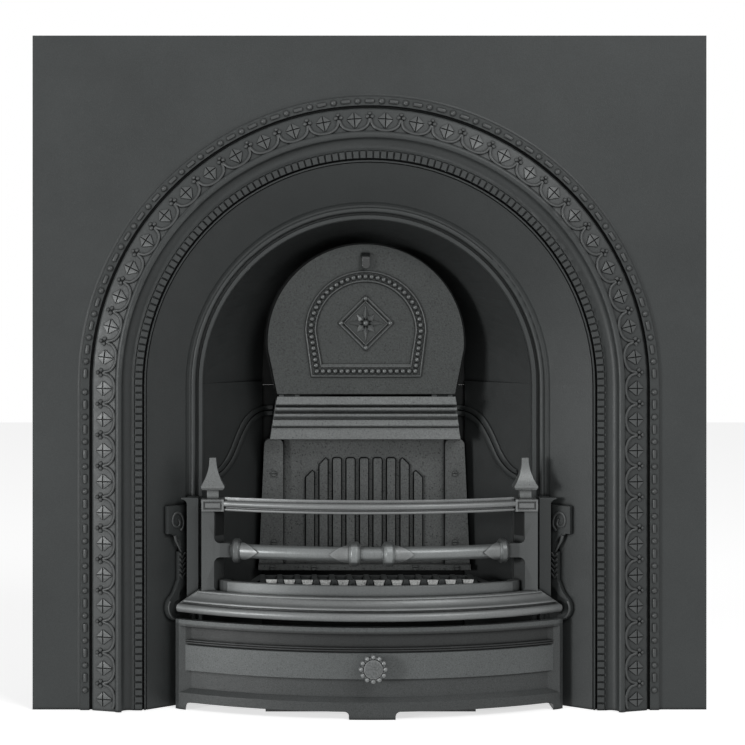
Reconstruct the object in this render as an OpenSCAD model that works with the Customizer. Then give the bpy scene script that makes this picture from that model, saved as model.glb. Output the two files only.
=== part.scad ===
// Arched cast iron fireplace: a square face plate with a moulded round arch, splayed fire
// chamber castings behind it, a tilting damper plate over the flue throat, a fluted fire back,
// a bowed basket front with finials, a loose bottom grate and a bowed ash-pan cover that
// hides a sheet-steel ash pan.
// X runs to the right, Y into the wall and Z up. The origin is on the hearth, in the middle
// of the fireplace's width and depth. Every section below counts Y from the plate's face.

/* [Face plate] */
// Width of the face plate
plate_w = 965; // [900:1:1100]
// Height of the face plate
plate_h = 965; // [940:1:1100]
// Thickness of the plain part of the plate
plate_t = 6; // [5:0.5:8]
// Depth of the rim round the back of the plate, counted from its face
rim_depth = 20; // [14:1:30]
// Thickness of that rim
rim_t = 7; // [5:1:12]
// Distance between the wall-fixing bosses, side to side
fixing_dx = 880; // [866:1:900]
// Distance between the wall-fixing bosses, up and down
fixing_dz = 740; // [600:1:780]
// Height of the lower pair of wall-fixing bosses
fixing_low_z = 130; // [60:1:150]
// Radius of a wall-fixing boss
fixing_boss_r = 11; // [9:0.5:12]
// Radius of the tapping hole in a wall-fixing boss
fixing_hole_r = 4.25; // [3:0.25:6]
// Depth of that hole
fixing_hole_depth = 13; // [8:1:14]

/* [Arch moulding] */
// Height of the springing line of the arch
spring_z = 464; // [440:1:480]
// Radius of the fire opening
opening_r = 239.5; // [236:0.5:242]
// How far the flat band round the opening lies behind the plate's face
opening_depth = 51.5; // [48:0.5:56]
// Width of the flat band round the opening
band_w = 7; // [6:0.5:8]
// Thickness of the casting round the opening
lip_t = 10.5; // [9:0.5:14]
// Radius of the roll outside the band
roll_r = 4; // [3:0.25:4.5]
// Width of the splayed panel
panel_w = 56; // [52:1:60]
// How far the splayed panel falls back
panel_fall = 48; // [44:1:52]
// Width of the dentil band
dentil_w = 9.8; // [8:0.2:11]
// How far the dentil band stands in front of the plate
dentil_proud = 7; // [5:0.5:9]
// Width of the cove
cove_w = 17.5; // [15:0.5:19]
// Depth of the cove
cove_sag = 4.5; // [3:0.5:5.5]
// Width of the rounded crest
crest_w = 11; // [9:0.5:12]
// How far the crest stands in front of the plate
crest_proud = 22; // [19:0.5:26]
// Width of the sloping band that carries the lunette pattern
lunette_w = 31; // [28:0.5:34]
// Width of the flat strip that carries the bead and reel
strip_w = 12.6; // [11:0.2:14]
// How far that strip stands in front of the plate
strip_proud = 5; // [3.5:0.5:6]
// Thickness of the moulded casting
casting_t = 6.5; // [5.5:0.5:8]

/* [Fire chamber] */
// Depth of the chamber behind the plate's face
chamber_depth = 165; // [163:1:167]
// Half width of the chamber at its back
back_half_w = 153; // [148:1:160]
// Radius of the round throat at the back of the crown
throat_r = 150; // [146:1:152]
// Height of the centre of that throat
throat_z = 523.6; // [520:0.2:526]
// Wall thickness of the cheeks and crown
cheek_t = 6; // [5:0.5:8]
// Width of the flange by which they are bolted to the face plate
flange_w = 18; // [16:0.5:19]
// Width of their flange at the back
back_flange_w = 20; // [18:1:24]
// Thickness of the back plate
back_t = 6; // [5:0.5:10]

/* [Fire back] */
// Height of the underside of the fire back
fire_back_low_z = 190; // [188:0.5:192]
// Height of the top of the fire back
fire_back_top_z = 378; // [365:1:382]
// Half width of the fluted panel
fire_back_half_w = 120.5; // [118:0.5:124]
// Thickness of the fluted panel
fire_back_t = 20; // [14:1:24]
// Number of upright bars on the fluted panel
flute_count = 9; // [5:2:9]
// Distance between the bars
flute_pitch = 20.3; // [19:0.1:22]
// Width of a bar
flute_w = 12; // [9:0.2:13]
// How far the bars stand out
flute_proud = 5; // [3:0.5:7]
// Width of the groove round each bar
flute_groove_w = 1.6; // [1:0.1:2.5]
// Depth of that groove
flute_groove_depth = 2.5; // [1:0.5:4]
// Height of the foot of the bars
flute_low_z = 216; // [205:0.5:225]
// Height of the top of the long bars
flute_top_z = 348.5; // [335:0.5:355]
// Step down of the outermost bars
flute_step = 19; // [10:1:24]
// Depth of the side bricks, front to back
brick_depth = 31; // [28:1:34]
// How far the side bricks flare towards their foot
brick_flare = 8; // [0:0.5:9]
// Radius of the heads of the fixing screws in the bricks and the ledge
screw_head_r = 3.8; // [3.4:0.2:4.6]
// How far the ledge under the fire back stands forward of the back plate
ledge_depth = 36; // [33:1:40]
// Height of the ledge's face
ledge_h = 8; // [6:0.5:12]

/* [Throat moulding] */
// Height of the top of the stepped moulding's front edge
throat_top_z = 444; // [440:0.5:444.5]
// Height of its top behind that edge, under the foot of the damper plate
throat_seat_z = 438; // [430:0.5:438.5]
// Half width of its top
throat_top_half_w = 131; // [130:0.5:134]
// Half width of its foot
throat_foot_half_w = 141.5; // [140:0.5:148]
// How far its top edge lies behind the plate's face
throat_front_y = 84; // [82:0.5:85]
// How far its foot lies behind the plate's face
throat_foot_y = 112; // [108:0.5:116]
// Wall thickness
throat_t = 7; // [5:0.5:9]

/* [Damper] */
// Radius of the damper plate
damper_r = 145; // [143:0.5:147]
// Thickness of the damper plate
damper_t = 6; // [4:0.5:7]
// Height of the centre of its round top
damper_centre_z = 523.6; // [520:0.2:526]
// Half width of its straight foot
damper_foot_half_w = 131; // [130:0.5:134]
// Height of the hinge
hinge_z = 445.5; // [445:0.1:446]
// How far the hinge lies behind the plate's face
hinge_y = 101; // [100:0.5:103]
// How far the hinge lies behind the back of the damper plate
hinge_offset = 5; // [4.8:0.1:5.5]
// How far the closed plate leans back
damper_lean = 5.4; // [4:0.1:6]
// Radius of the hinge pins
pin_r = 2.5; // [2:0.1:2.6]
// Radius of the knuckles and lugs round the pins
knuckle_r = 4; // [3.8:0.1:4.2]
// Height of the arched border above the foot of the plate
border_top = 183; // [170:1:190]
// Half width of the arched border at its widest
border_half_w = 90; // [80:1:96]
// Width of the arched border
border_w = 17; // [12:0.5:20]
// How far the arched border stands out
border_proud = 1.5; // [1:0.25:3]
// Half diagonal of the diamond in the middle of the plate
diamond_half = 41.5; // [34:0.5:46]
// Height of the middle of the diamond above the foot of the plate
diamond_rise = 105; // [98:1:110]
// Height of the top of the lifting hook above the foot of the plate
hook_top_rise = 210; // [205:0.5:212]
// Width of the lifting hook
hook_w = 11.5; // [8:0.5:14]
// Height of the lifting hook
hook_h = 25; // [20:0.5:28]

/* [Basket front] */
// Half distance between the outer faces of the posts
post_outer_x = 240.5; // [236:0.5:241]
// Width of the front face of a post
post_face_w = 18; // [14:0.5:20]
// Width of the receding facet beside it
post_facet_w = 14; // [10:0.5:16]
// Depth of the posts, front to back
post_depth = 38; // [34:1:38]
// How far the posts stand in front of the plate's face
post_proud = 4; // [2:0.5:8]
// Height of the foot of the posts and of the top of the shelf
shelf_top_z = 170; // [166:0.5:174]
// Height of the top of the posts
post_top_z = 284; // [278:1:290]
// How far the top rail bows forward between its end blocks
rail_bow = 52; // [40:1:56]
// Height of the end blocks of the top rail
rail_h = 17; // [15:0.5:20]
// Height of the middle bar
bar_z = 228.3; // [222:0.5:236]
// Radius of the middle bar
bar_r = 10; // [7:0.25:10.5]
// Radius of the collars on the middle bar
collar_r = 17.5; // [14:0.5:19]
// Half width of a collar
collar_half_w = 7.5; // [6:0.5:9]
// Distance of the inner collars from the middle
inner_collar_x = 24; // [18:0.5:40]
// Distance of the outer collars from the middle
outer_collar_x = 189.5; // [184:0.5:191]
// How far the lip bows forward between the posts
lip_bow = 58; // [50:1:62]
// Height of the lip above the shelf
lip_h = 15.5; // [12:0.5:17]
// Thickness of the lip
lip_plate_t = 6; // [5:0.5:8]

/* [Finials] */
// Height of the flared part of a finial
finial_h = 45.5; // [38:0.5:50]
// Half width of the foot of a finial
finial_half_w = 16.8; // [13:0.2:17]
// Half width of its tip
finial_tip_half_w = 4.7; // [3:0.1:6]
// Height of the square neck below it
finial_neck_h = 13; // [8:0.5:16]
// Half width of that neck
finial_neck_half_w = 8.4; // [7:0.2:10]
// Radius of the curve of its sides
finial_curve_r = 72; // [60:1:90]
// Radius of the stud that holds the finial down
stud_r = 4; // [3:0.5:5]

/* [Hearth shelf] */
// Half width of the shelf between its tips
shelf_half_w = 277; // [272:1:280]
// How far the foremost roll of the shelf stands in front of the plate's face
shelf_proud = 92; // [86:1:96]
// Height of the underside of the shelf
shelf_low_z = 138.5; // [136:0.5:142]
// Radius of the roll along the shelf's edge
shelf_roll_r = 6.25; // [5:0.25:6.5]

/* [Scroll brackets] */
// Half distance between the inner faces of the brackets
bracket_inner_x = 245.6; // [243:0.2:246]
// Width of the upright strip of a bracket
bracket_strip_w = 16.4; // [15:0.2:18]
// How far the strip lies behind the plate's face
bracket_y = 16; // [12:0.5:20]
// Height of the top of the strip
bracket_top_z = 301.5; // [296:0.5:306]
// Thickness of the scroll on the splayed panel
scroll_t = 8; // [4:0.5:9]

/* [Grate] */
// Number of bars
grate_bars = 13; // [8:1:13]
// Distance between the bars
grate_pitch = 25.5; // [22:0.1:26]
// Width of a bar at its top
grate_bar_top_w = 7; // [5:0.5:9]
// Width of a bar at its foot
grate_bar_foot_w = 12; // [9:0.5:14]
// Thickness of the grate
grate_t = 11; // [9:0.5:13]
// How far the grate's front edge stands in front of the plate's face
grate_proud = 24; // [15:0.5:25]
// Length of the grate, front to back
grate_len = 120; // [112:1:122]
// Width of its side and end bars
grate_frame_w = 11; // [8:0.5:13]

/* [Ash-pan cover] */
// Half width of the cover
cover_half_w = 279; // [270:0.5:280]
// How far the cover bows forward
cover_bow = 83; // [76:1:86]
// How far the middle of the cover stands in front of the plate's face
cover_proud = 75; // [72:1:78]
// Height of the cover
cover_h = 128.5; // [120:0.5:131]
// Thickness of the cover round its edge
cover_t = 12; // [10:0.5:14]
// Height of the cut-outs under the cover
cover_foot_h = 11; // [8:0.5:13]
// Half width of the foot in the middle
cover_foot_half_w = 32.5; // [24:0.5:44]
// Height of the knob
knob_z = 74; // [64:1:84]
// Radius of the knob
knob_r = 20.5; // [16:0.5:23]
// How far the knob stands in front of the cover
knob_proud = 26; // [20:1:32]
// Number of lobes round the knob
knob_lobes = 12; // [8:2:14]

/* [Ash pan] */
// Half width of the pan
pan_half_w = 149; // [140:1:150]
// Length of the pan, front to back
pan_len = 175; // [160:1:180]
// Height of the pan's rim
pan_rim_z = 60; // [48:1:66]
// Thickness of the sheet
pan_t = 1.5; // [1:0.25:2.5]
// Width of the pan's turned-out rim
pan_rim_w = 14; // [12:0.5:15]

/* [Fasteners and clearances] */
// Radius of the bolts and screws
bolt_r = 3; // [2.5:0.25:3.25]
// Height of a bolt's head
bolt_head_h = 4; // [3:0.5:5]
// Width of a hexagonal head across its flats
bolt_flats = 10; // [8:0.5:11]
// Clearance of a bolt in a tapped hole or of a pin in its bore
fit_gap = 0.05; // [0.02:0.01:0.1]
// Clearance of a bolt in a plain hole
bolt_gap = 0.4; // [0.2:0.1:0.6]
// Gap between pieces that lie loose against each other
seat_gap = 0.3; // [0.2:0.05:0.5]

/* [Hidden] */
$fn = 96;
tiny = 0.01;

// Stations of the arch moulding, as distances from the middle of the opening
groove_w = 3.5;
hollow_w = 5;
r_band = opening_r + band_w;
r_roll = r_band + groove_w + roll_r;
r_panel_in = r_roll + roll_r + hollow_w;
r_panel_out = r_panel_in + panel_w;
r_fillet = r_panel_out + 1.2;
fillet_w = 2.2;
r_dentil_in = r_fillet + fillet_w + 2.8;
r_dentil_out = r_dentil_in + dentil_w;
r_cove = r_dentil_out + cove_w / 2;
r_crest = r_dentil_out + cove_w + crest_w / 2;
r_lunette_in = r_crest + crest_w / 2;
r_lunette_out = r_lunette_in + lunette_w;
r_strip_in = r_lunette_out + 6.3;
r_strip_out = r_strip_in + strip_w;
r_edge = r_strip_out + 4.6;

// Depths behind the plate's face; what stands in front of it is negative
groove_depth = 2.5;
groove_y = opening_depth + groove_depth;
roll_y = groove_y - roll_r / 2;
seat_y = opening_depth + lip_t;
panel_in_y = opening_depth - 5.5;
panel_out_y = panel_in_y - panel_fall;
fillet_y = -dentil_proud + 2;
crest_y = -crest_proud;
lunette_in_y = crest_y + 4.5;
lunette_out_y = -6.5;
strip_gap_y = 1;
cove_edge_y = crest_y + 9.5;
cove_mid_y = (-dentil_proud + 0.5 + cove_edge_y) / 2;
cove_r = (pow(cove_w / 2, 2) + pow(cove_sag, 2)) / (2 * cove_sag);

// Chamber
flange_y = seat_y + cheek_t;
flange_r = opening_r + flange_w;
back_y = chamber_depth + cheek_t;
rear_y = back_y + back_t;
splay_slope = (opening_r - back_half_w) / (chamber_depth - seat_y);

// Bows: a chord of half width c that bows forward by s lies on this radius
function bow_radius(c, s) = (c * c + s * s) / (2 * s);

post_front_y = -post_proud;
post_back_y = post_front_y + post_depth;
post_inner_x = post_outer_x - post_face_w - post_facet_w;
post_mid_x = post_outer_x - (post_face_w + post_facet_w) / 2;
post_centre_y = (post_front_y + post_back_y) / 2;

rail_end_y = post_front_y - 1;
rail_r = bow_radius(post_inner_x + 3.5, rail_bow);
rail_centre_y = rail_end_y - rail_bow + rail_r;
rail_angle = asin((post_inner_x + 2) / rail_r);
rail_top_z = post_top_z + rail_h;
bar_path_r = rail_r - bar_r + 1;
block_back_y = post_back_y - 8;

lip_end_y = post_front_y - 3;
lip_r = bow_radius(post_inner_x + 3, lip_bow);
lip_centre_y = lip_end_y - lip_bow + lip_r;
lip_angle = asin((post_outer_x - 14) / lip_r);
lip_top_z = shelf_top_z + lip_h;

shelf_r = lip_centre_y + shelf_proud;
shelf_angle = asin(shelf_half_w / shelf_r);
shelf_fillet_r = lip_r + 12;
shelf_inner_r = lip_r - 38;
shelf_foot_z = shelf_top_z - 12;
hip_in_x = post_outer_x + 4.5;
hip_drop = 22;

cover_r = bow_radius(cover_half_w, cover_bow);
cover_centre_y = -cover_proud + cover_r;
cover_angle = asin(cover_half_w / cover_r);
cover_edge_w = 6;
cover_edge_x = cover_half_w - cover_edge_w;
cover_edge_y = cover_centre_y - sqrt(pow(cover_r, 2) - pow(cover_edge_x, 2));
cover_recess = 7;
cover_fascia = 3.5;
knob_y = -cover_proud + cover_recess - cover_fascia;

bracket_outer_x = bracket_inner_x + bracket_strip_w;
bracket_back_y = roll_y - roll_r - seat_gap;
panel_angle = atan(panel_fall / panel_w);
tongue_y = post_back_y;
tongue_t = 6;

// Places of the fasteners and how far they reach into what they hold
screw_spare = 2;
stud_depth = 20;
basket_screw_depth = 12;
bracket_screw_tip_y = bracket_y + 8;
shelf_screw_tip_y = seat_y - 44;
chamber_bolt_depth = 6;
chamber_bolt_z = [60, 385];
chamber_bolt_r = opening_r + cheek_t + 4.5;
crown_bolt_angle = [30, 90, 150];
bracket_screw_z = [shelf_top_z + 28, bracket_top_z - 20];
bracket_screw_x = r_roll - 1.5;
basket_screw_z = [shelf_top_z + 34, post_top_z - 22];
shelf_boss_r = 7;
shelf_screw_x = shelf_half_w - 11;
shelf_screw_z = shelf_low_z + 9;
rear_bolt_z = [30, 230, 420];
rear_bolt_x = back_half_w + cheek_t + back_flange_w / 2 - 1;
collar_bolt_angle = [25, 65, 115, 155];
collar_bolt_r = throat_r + back_flange_w / 2 + 3;
brick_screw_z = [fire_back_low_z + 33, fire_back_top_z - 52];
brick_mid_x = (fire_back_half_w + back_half_w) / 2 - 1;
lining_bolt_x = 80;
lining_bolt_z = [fire_back_low_z + 25, fire_back_top_z - 28, fire_back_top_z + 18];
lining_bolt_depth = 12;
ledge_screw_x = [76, 138];
ledge_top_z = fire_back_low_z;

// Grate: it lies on the shelf and on lugs of the cheeks, and lifts out between the collars
grate_lift_gap = 7.5;
grate_corner_w = 70;
grate_foot_z = shelf_top_z;
grate_back_y = -grate_proud + grate_len;
grate_front_half_w = outer_collar_x - collar_half_w - grate_lift_gap;
grate_rear_half_w = 158;

// Damper
damper_foot_z = 1;
damper_centre_rise = (damper_centre_z - hinge_z) / cos(damper_lean);
knuckle_x = 106;
knuckle_len = 14;
lug_len = 7;
lug_gap = 1;
collar_lap = 9;
collar_flange_r = throat_r + back_flange_w + cheek_t;
shoulder_drop = 0.07;
damper_rim = 3;

// Front and rear reach, and where the plate's face lies in the part's own frame
front_reach = -knob_y + knob_proud;
rear_reach = rear_y + bolt_head_h;
face_y = (front_reach - rear_reach) / 2;

iron = [0.27, 0.28, 0.28];
dark_iron = [0.17, 0.18, 0.18];
worn_iron = [0.42, 0.44, 0.44];
steel = [0.5, 0.5, 0.5];

// ---------- helpers ----------

// Puts a piece whose Y is counted from the plate's face into the part's own frame
module at_face() {
    translate([0, face_y, 0]) children();
}

// Stands a flat outline, drawn in X and Z, up as a slab from depth y0 to y0 + t
module slab(y0, t) {
    translate([0, y0 + t, 0]) rotate([90, 0, 0]) linear_extrude(height=t) children();
}

// Sweeps a section, drawn as distance from the middle and depth, over the arch and its jambs
module arch_sweep() {
    translate([0, 0, spring_z]) rotate([-90, 0, 0])
        rotate_extrude(angle=180, start=180) children();
    for (side = [0, 1])
        mirror([side, 0, 0]) linear_extrude(height=spring_z) children();
}

// Outline of a round arch on straight jambs
module arch_outline(r, below=0) {
    translate([0, spring_z]) circle(r=r);
    translate([-r, -below]) square([2 * r, spring_z + below]);
}

// Sweeps a section, drawn as radius and height, round a bow that faces forward
module bow(centre_y, angle) {
    translate([0, centre_y, 0]) rotate_extrude(angle=2 * angle, start=270 - angle) children();
}

// Both halves of something that is drawn on the right
module both_sides() {
    children();
    mirror([1, 0, 0]) children();
}

module box(low, high) {
    translate(low) cube([high[0] - low[0], high[1] - low[1], high[2] - low[2]]);
}

// A round bar along Y, from depth y0 to y1
module along_y(r, y0, y1) {
    translate([0, y1, 0]) rotate([90, 0, 0]) cylinder(r=r, h=y1 - y0);
}

// The part of a disc of radius r that lies above the height low_z
module round_above(centre_z, r, low_z) {
    intersection() {
        translate([0, centre_z]) circle(r=r);
        translate([-r, low_z]) square([2 * r, 2 * r]);
    }
}

// A hexagon-headed bolt along Y: its head lies behind depth seat, its tip at depth tip
module hex_bolt(seat, tip) {
    along_y(bolt_r, tip, seat + tiny);
    translate([0, seat + bolt_head_h, 0]) rotate([90, 0, 0])
        cylinder(r=bolt_flats / 2 / cos(30), h=bolt_head_h, $fn=6);
}

// ---------- face plate ----------

// Front of the moulding from the opening outwards, as distance and depth
front_line = [
    [opening_r, opening_depth + 1.5], [opening_r + 1.5, opening_depth],
    [r_band - 0.6, opening_depth], [r_band, groove_y],
    [r_roll, groove_y], [r_roll + 0.85 * roll_r, roll_y - 0.5 * roll_r],
    [r_roll + 1.6 * roll_r, roll_y - 0.65 * roll_r], [r_panel_in, panel_in_y + 1],
    [r_panel_in + 2, panel_in_y - 2 * panel_fall / panel_w],
    [r_panel_out, panel_out_y], [r_panel_out + 0.4, panel_out_y + 3],
    [r_fillet - 0.4, panel_out_y + 3], [r_fillet, fillet_y],
    [r_fillet + fillet_w, fillet_y], [r_fillet + fillet_w + 0.4, fillet_y + 4.5],
    [r_dentil_in - 0.4, fillet_y + 4.5], [r_dentil_in, -dentil_proud],
    [r_dentil_out, -dentil_proud], [r_dentil_out + 0.6, -dentil_proud + 0.5],
    [r_crest - crest_w / 2, cove_edge_y], [r_crest - crest_w / 2 + 0.5, crest_y + 5],
    [r_lunette_in, lunette_in_y], [r_lunette_out, lunette_out_y],
    [r_strip_in - 4.4, lunette_out_y + 1.5], [r_strip_in - 3.6, strip_gap_y],
    [r_strip_in - 0.5, strip_gap_y], [r_strip_in, -strip_proud],
    [r_strip_out, -strip_proud], [r_strip_out + 0.8, -1.6],
    [r_strip_out + 2.4, -0.5], [r_edge, 0]];

// Back of the moulding from its outer edge inwards
back_line = [
    [r_edge, plate_t], [r_strip_in, plate_t],
    [r_lunette_in, crest_y + 2 * casting_t], [r_crest - crest_w / 4, crest_y + 2 * casting_t],
    [r_cove, cove_mid_y + cove_sag + casting_t],
    [r_panel_out, panel_out_y + 3 + casting_t],
    [r_panel_in + 4, panel_in_y + 2 * casting_t - 3],
    [r_panel_in, seat_y], [opening_r, seat_y]];

module moulding_section() {
    difference() {
        union() {
            polygon(concat(front_line, back_line));
            translate([r_roll, roll_y]) circle(r=roll_r);
            translate([r_crest, crest_y + crest_w / 2]) circle(r=crest_w / 2);
        }
        translate([r_cove, cove_mid_y - cove_r + cove_sag]) circle(r=cove_r);
    }
}

module plate_outline() {
    translate([-plate_w / 2, 0]) square([plate_w, plate_h]);
}

module flat_plate() {
    slab(0, plate_t) difference() {
        plate_outline();
        arch_outline(r_edge, below=1);
    }
    slab(plate_t, rim_depth - plate_t) difference() {
        plate_outline();
        translate([-plate_w / 2 + rim_t, rim_t])
            square([plate_w - 2 * rim_t, plate_h - 2 * rim_t]);
        arch_outline(r_strip_in, below=1);
    }
}

// Wall-fixing bosses on the back of the plate, near its corners
module at_fixings() {
    for (x = [-fixing_dx / 2, fixing_dx / 2], z = [fixing_low_z, fixing_low_z + fixing_dz])
        translate([x, 0, z]) children();
}

module at_chamber_bolts() {
    for (x = [-chamber_bolt_r, chamber_bolt_r], z = chamber_bolt_z)
        translate([x, 0, z]) children();
    for (a = crown_bolt_angle)
        translate([chamber_bolt_r * cos(a), 0, spring_z + chamber_bolt_r * sin(a)]) children();
}

module at_bracket_screws() {
    for (x = [-bracket_screw_x, bracket_screw_x], z = bracket_screw_z)
        translate([x, 0, z]) children();
}

module at_shelf_screws() {
    for (x = [-shelf_screw_x, shelf_screw_x]) translate([x, 0, shelf_screw_z]) children();
}

// Everything behind the front of the splayed panel, in plan
module behind_panel() {
    polygon([[opening_r + 1, groove_y + 1], [r_panel_in, groove_y + 1],
        [r_panel_in + 2, panel_in_y + 2], [r_panel_out, panel_out_y + 4],
        [r_panel_out, seat_y], [opening_r + 1, seat_y]]);
}

module face_plate() {
    color(iron) at_face() difference() {
        union() {
            flat_plate();
            arch_sweep() moulding_section();
            at_fixings() along_y(fixing_boss_r, plate_t - 1, rim_depth);
            both_sides() intersection() {
                translate([shelf_screw_x, 0, shelf_screw_z]) along_y(shelf_boss_r, 0, seat_y);
                linear_extrude(height=spring_z) behind_panel();
            }
        }
        at_fixings() along_y(fixing_hole_r, rim_depth - fixing_hole_depth, rim_depth + 1);
        at_chamber_bolts() along_y(bolt_r + fit_gap, seat_y - chamber_bolt_depth - 0.5, seat_y + 1);
        at_bracket_screws() along_y(bolt_r + bolt_gap, 0, seat_y + 1);
        at_shelf_screws() along_y(bolt_r + bolt_gap, 0, seat_y + 1);
    }
}

// ---------- fire chamber ----------

// Inner half width of the chamber at a depth
function cheek_x(y) = opening_r - (y - seat_y) * splay_slope;

pan_ledge_setback = 20;
pan_ledge_y0 = seat_y + 8;
pan_ledge_y1 = chamber_depth - pan_ledge_setback;
pan_ledge_z = pan_rim_z - pan_t - seat_gap;

// A lug on the cheek that carries a rear corner of the grate
module cheek_grate_lug() {
    y0 = grate_back_y - 16;
    y1 = grate_back_y + 4;
    tip_x = grate_rear_half_w - grate_frame_w;
    translate([0, 0, grate_foot_z - 6]) linear_extrude(height=6) polygon([
        [tip_x, y0], [cheek_x(y0 - 14) + 2, y0 - 14],
        [cheek_x(y1 + 14) + 2, y1 + 14], [tip_x, y1]]);
}

module cheek() {
    wall = [[opening_r, seat_y], [back_half_w, chamber_depth], [back_half_w, back_y],
        [back_half_w + cheek_t, back_y], [opening_r + cheek_t, seat_y + tiny]];
    difference() {
        union() {
            linear_extrude(height=spring_z) polygon(wall);
            box([opening_r, seat_y, 0], [flange_r, flange_y, spring_z]);
            box([back_half_w, chamber_depth, 0],
                [back_half_w + cheek_t + back_flange_w, back_y, spring_z]);
            translate([0, 0, pan_ledge_z - 4]) linear_extrude(height=4) polygon([
                [pan_half_w + 3, pan_ledge_y0], [cheek_x(pan_ledge_y0) + 2, pan_ledge_y0],
                [cheek_x(pan_ledge_y1) + 2, pan_ledge_y1], [pan_half_w + 3, pan_ledge_y1]]);
            cheek_grate_lug();
        }
        at_chamber_bolts() along_y(bolt_r + bolt_gap, seat_y - 1, flange_y + 1);
        at_bracket_screws() along_y(bolt_r + bolt_gap, seat_y - 1, flange_y + 1);
        at_shelf_screws() along_y(shelf_boss_r + bolt_gap, seat_y - 1, flange_y + 1);
        at_rear_bolts() along_y(bolt_r + fit_gap, chamber_depth - 1, back_y + 1);
    }
}

module at_rear_bolts() {
    for (x = [-rear_bolt_x, rear_bolt_x], z = rear_bolt_z) translate([x, 0, z]) children();
}

// Bolts from behind that hold the fire back and the throat moulding
module at_lining_bolts() {
    for (x = [-lining_bolt_x, lining_bolt_x], z = lining_bolt_z) translate([x, 0, z]) children();
}

module at_collar_bolts() {
    for (a = collar_bolt_angle)
        translate([collar_bolt_r * cos(a), 0, throat_z + collar_bolt_r * sin(a)]) children();
}

module cheek_right() {
    color(dark_iron) at_face() cheek();
}

module cheek_left() {
    color(dark_iron) at_face() mirror([1, 0, 0]) cheek();
}

// Outline of the crown's back end, from the height low_z upwards
module crown_back(extra, low_z) {
    half_w = back_half_w + extra;
    intersection() {
        hull() {
            translate([0, throat_z]) circle(r=throat_r + extra);
            translate([-half_w, low_z]) square([2 * half_w, 1]);
        }
        translate([-plate_w / 2, low_z]) square([plate_w, plate_h]);
    }
}

// A funnel between the two outlines, from depth y0 to depth y1
module crown_funnel(extra, low_z, y0, y1) {
    hull() {
        slab(y0, 0.5) round_above(spring_z, opening_r + extra, low_z);
        slab(y1 - 0.5, 0.5) crown_back(extra, low_z);
    }
}

module crown() {
    color(dark_iron) at_face() difference() {
        union() {
            crown_funnel(cheek_t, spring_z, seat_y, back_y);
            slab(seat_y, cheek_t) round_above(spring_z, flange_r, spring_z);
            slab(chamber_depth, cheek_t) round_above(throat_z, collar_flange_r, spring_z);
        }
        crown_funnel(0, spring_z - 20, seat_y - 1, back_y + 1);
        at_chamber_bolts() along_y(bolt_r + bolt_gap, seat_y - 1, flange_y + 1);
        at_collar_bolts() along_y(bolt_r + fit_gap, chamber_depth - 1, back_y + 1);
    }
}

module back_plate() {
    half_w = back_half_w + cheek_t + back_flange_w;
    color(dark_iron) at_face() difference() {
        box([-half_w, back_y, 0], [half_w, rear_y, spring_z - 6]);
        at_rear_bolts() along_y(bolt_r + bolt_gap, back_y - 1, rear_y + 1);
        at_lining_bolts() along_y(bolt_r + bolt_gap, back_y - 1, rear_y + 1);
        at_brick_screws() along_y(bolt_r + fit_gap, back_y - 1, rear_y + 1);
        at_ledge_screws() along_y(bolt_r + fit_gap, back_y - 1, rear_y + 1);
    }
}

// ---------- fire back ----------

module at_brick_screws() {
    for (x = [-brick_mid_x, brick_mid_x], z = brick_screw_z) translate([x, 0, z]) children();
}

module at_ledge_screws() {
    for (side = [-1, 1], x = ledge_screw_x)
        translate([side * x, 0, ledge_top_z - ledge_h / 2]) children();
}

// The bars' tops step down towards the sides of the panel; the outer two on each side
// have sloping tops
function flute_rank(i) = (flute_count - 1) / 2 - abs(i - (flute_count - 1) / 2);
function flute_drop(i) = flute_rank(i) == 0 ? flute_step : 0;
function flute_lean(i) = flute_rank(i) > 1 ? 0 : i < flute_count / 2 ? 1 : -1;

// Outline of a bar, drawn out from its edges by grow. A lean of 1 or -1 lets its top slope.
module flute_outline(top, lean, grow) {
    corner_r = 2.5 + grow;
    half_w = flute_w / 2 + grow;
    fall_left = lean > 0 ? 7 : 0;
    fall_right = lean < 0 ? 7 : 0;
    translate([0, top + grow]) {
        polygon([[-half_w, flute_low_z - top - 2 * grow], [half_w, flute_low_z - top - 2 * grow],
            [half_w, -corner_r - fall_right], [half_w - corner_r, -fall_right],
            [-half_w + corner_r, -fall_left], [-half_w, -corner_r - fall_left]]);
        if (lean == 0) for (side = [-1, 1])
            translate([side * (half_w - corner_r), -corner_r]) circle(r=corner_r);
    }
}

// All the bars, or the grooves round them, from depth y0 and t thick
module flutes(y0, t, grow) {
    for (i = [0 : flute_count - 1])
        translate([(i - (flute_count - 1) / 2) * flute_pitch, 0, 0]) slab(y0, t)
            flute_outline(flute_top_z - flute_drop(i), flute_lean(i), grow);
}

module fire_back() {
    front_y = back_y - fire_back_t;
    color(iron) at_face() difference() {
        union() {
            difference() {
                box([-fire_back_half_w, front_y, fire_back_low_z],
                    [fire_back_half_w, back_y, fire_back_top_z]);
                flutes(front_y - 1, flute_groove_depth + 1, flute_groove_w);
            }
            flutes(front_y - flute_proud, flute_proud + flute_groove_depth + 1, 0);
        }
        at_lining_bolts() along_y(bolt_r + fit_gap, back_y - lining_bolt_depth - 1, back_y + 1);
    }
}

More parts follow.
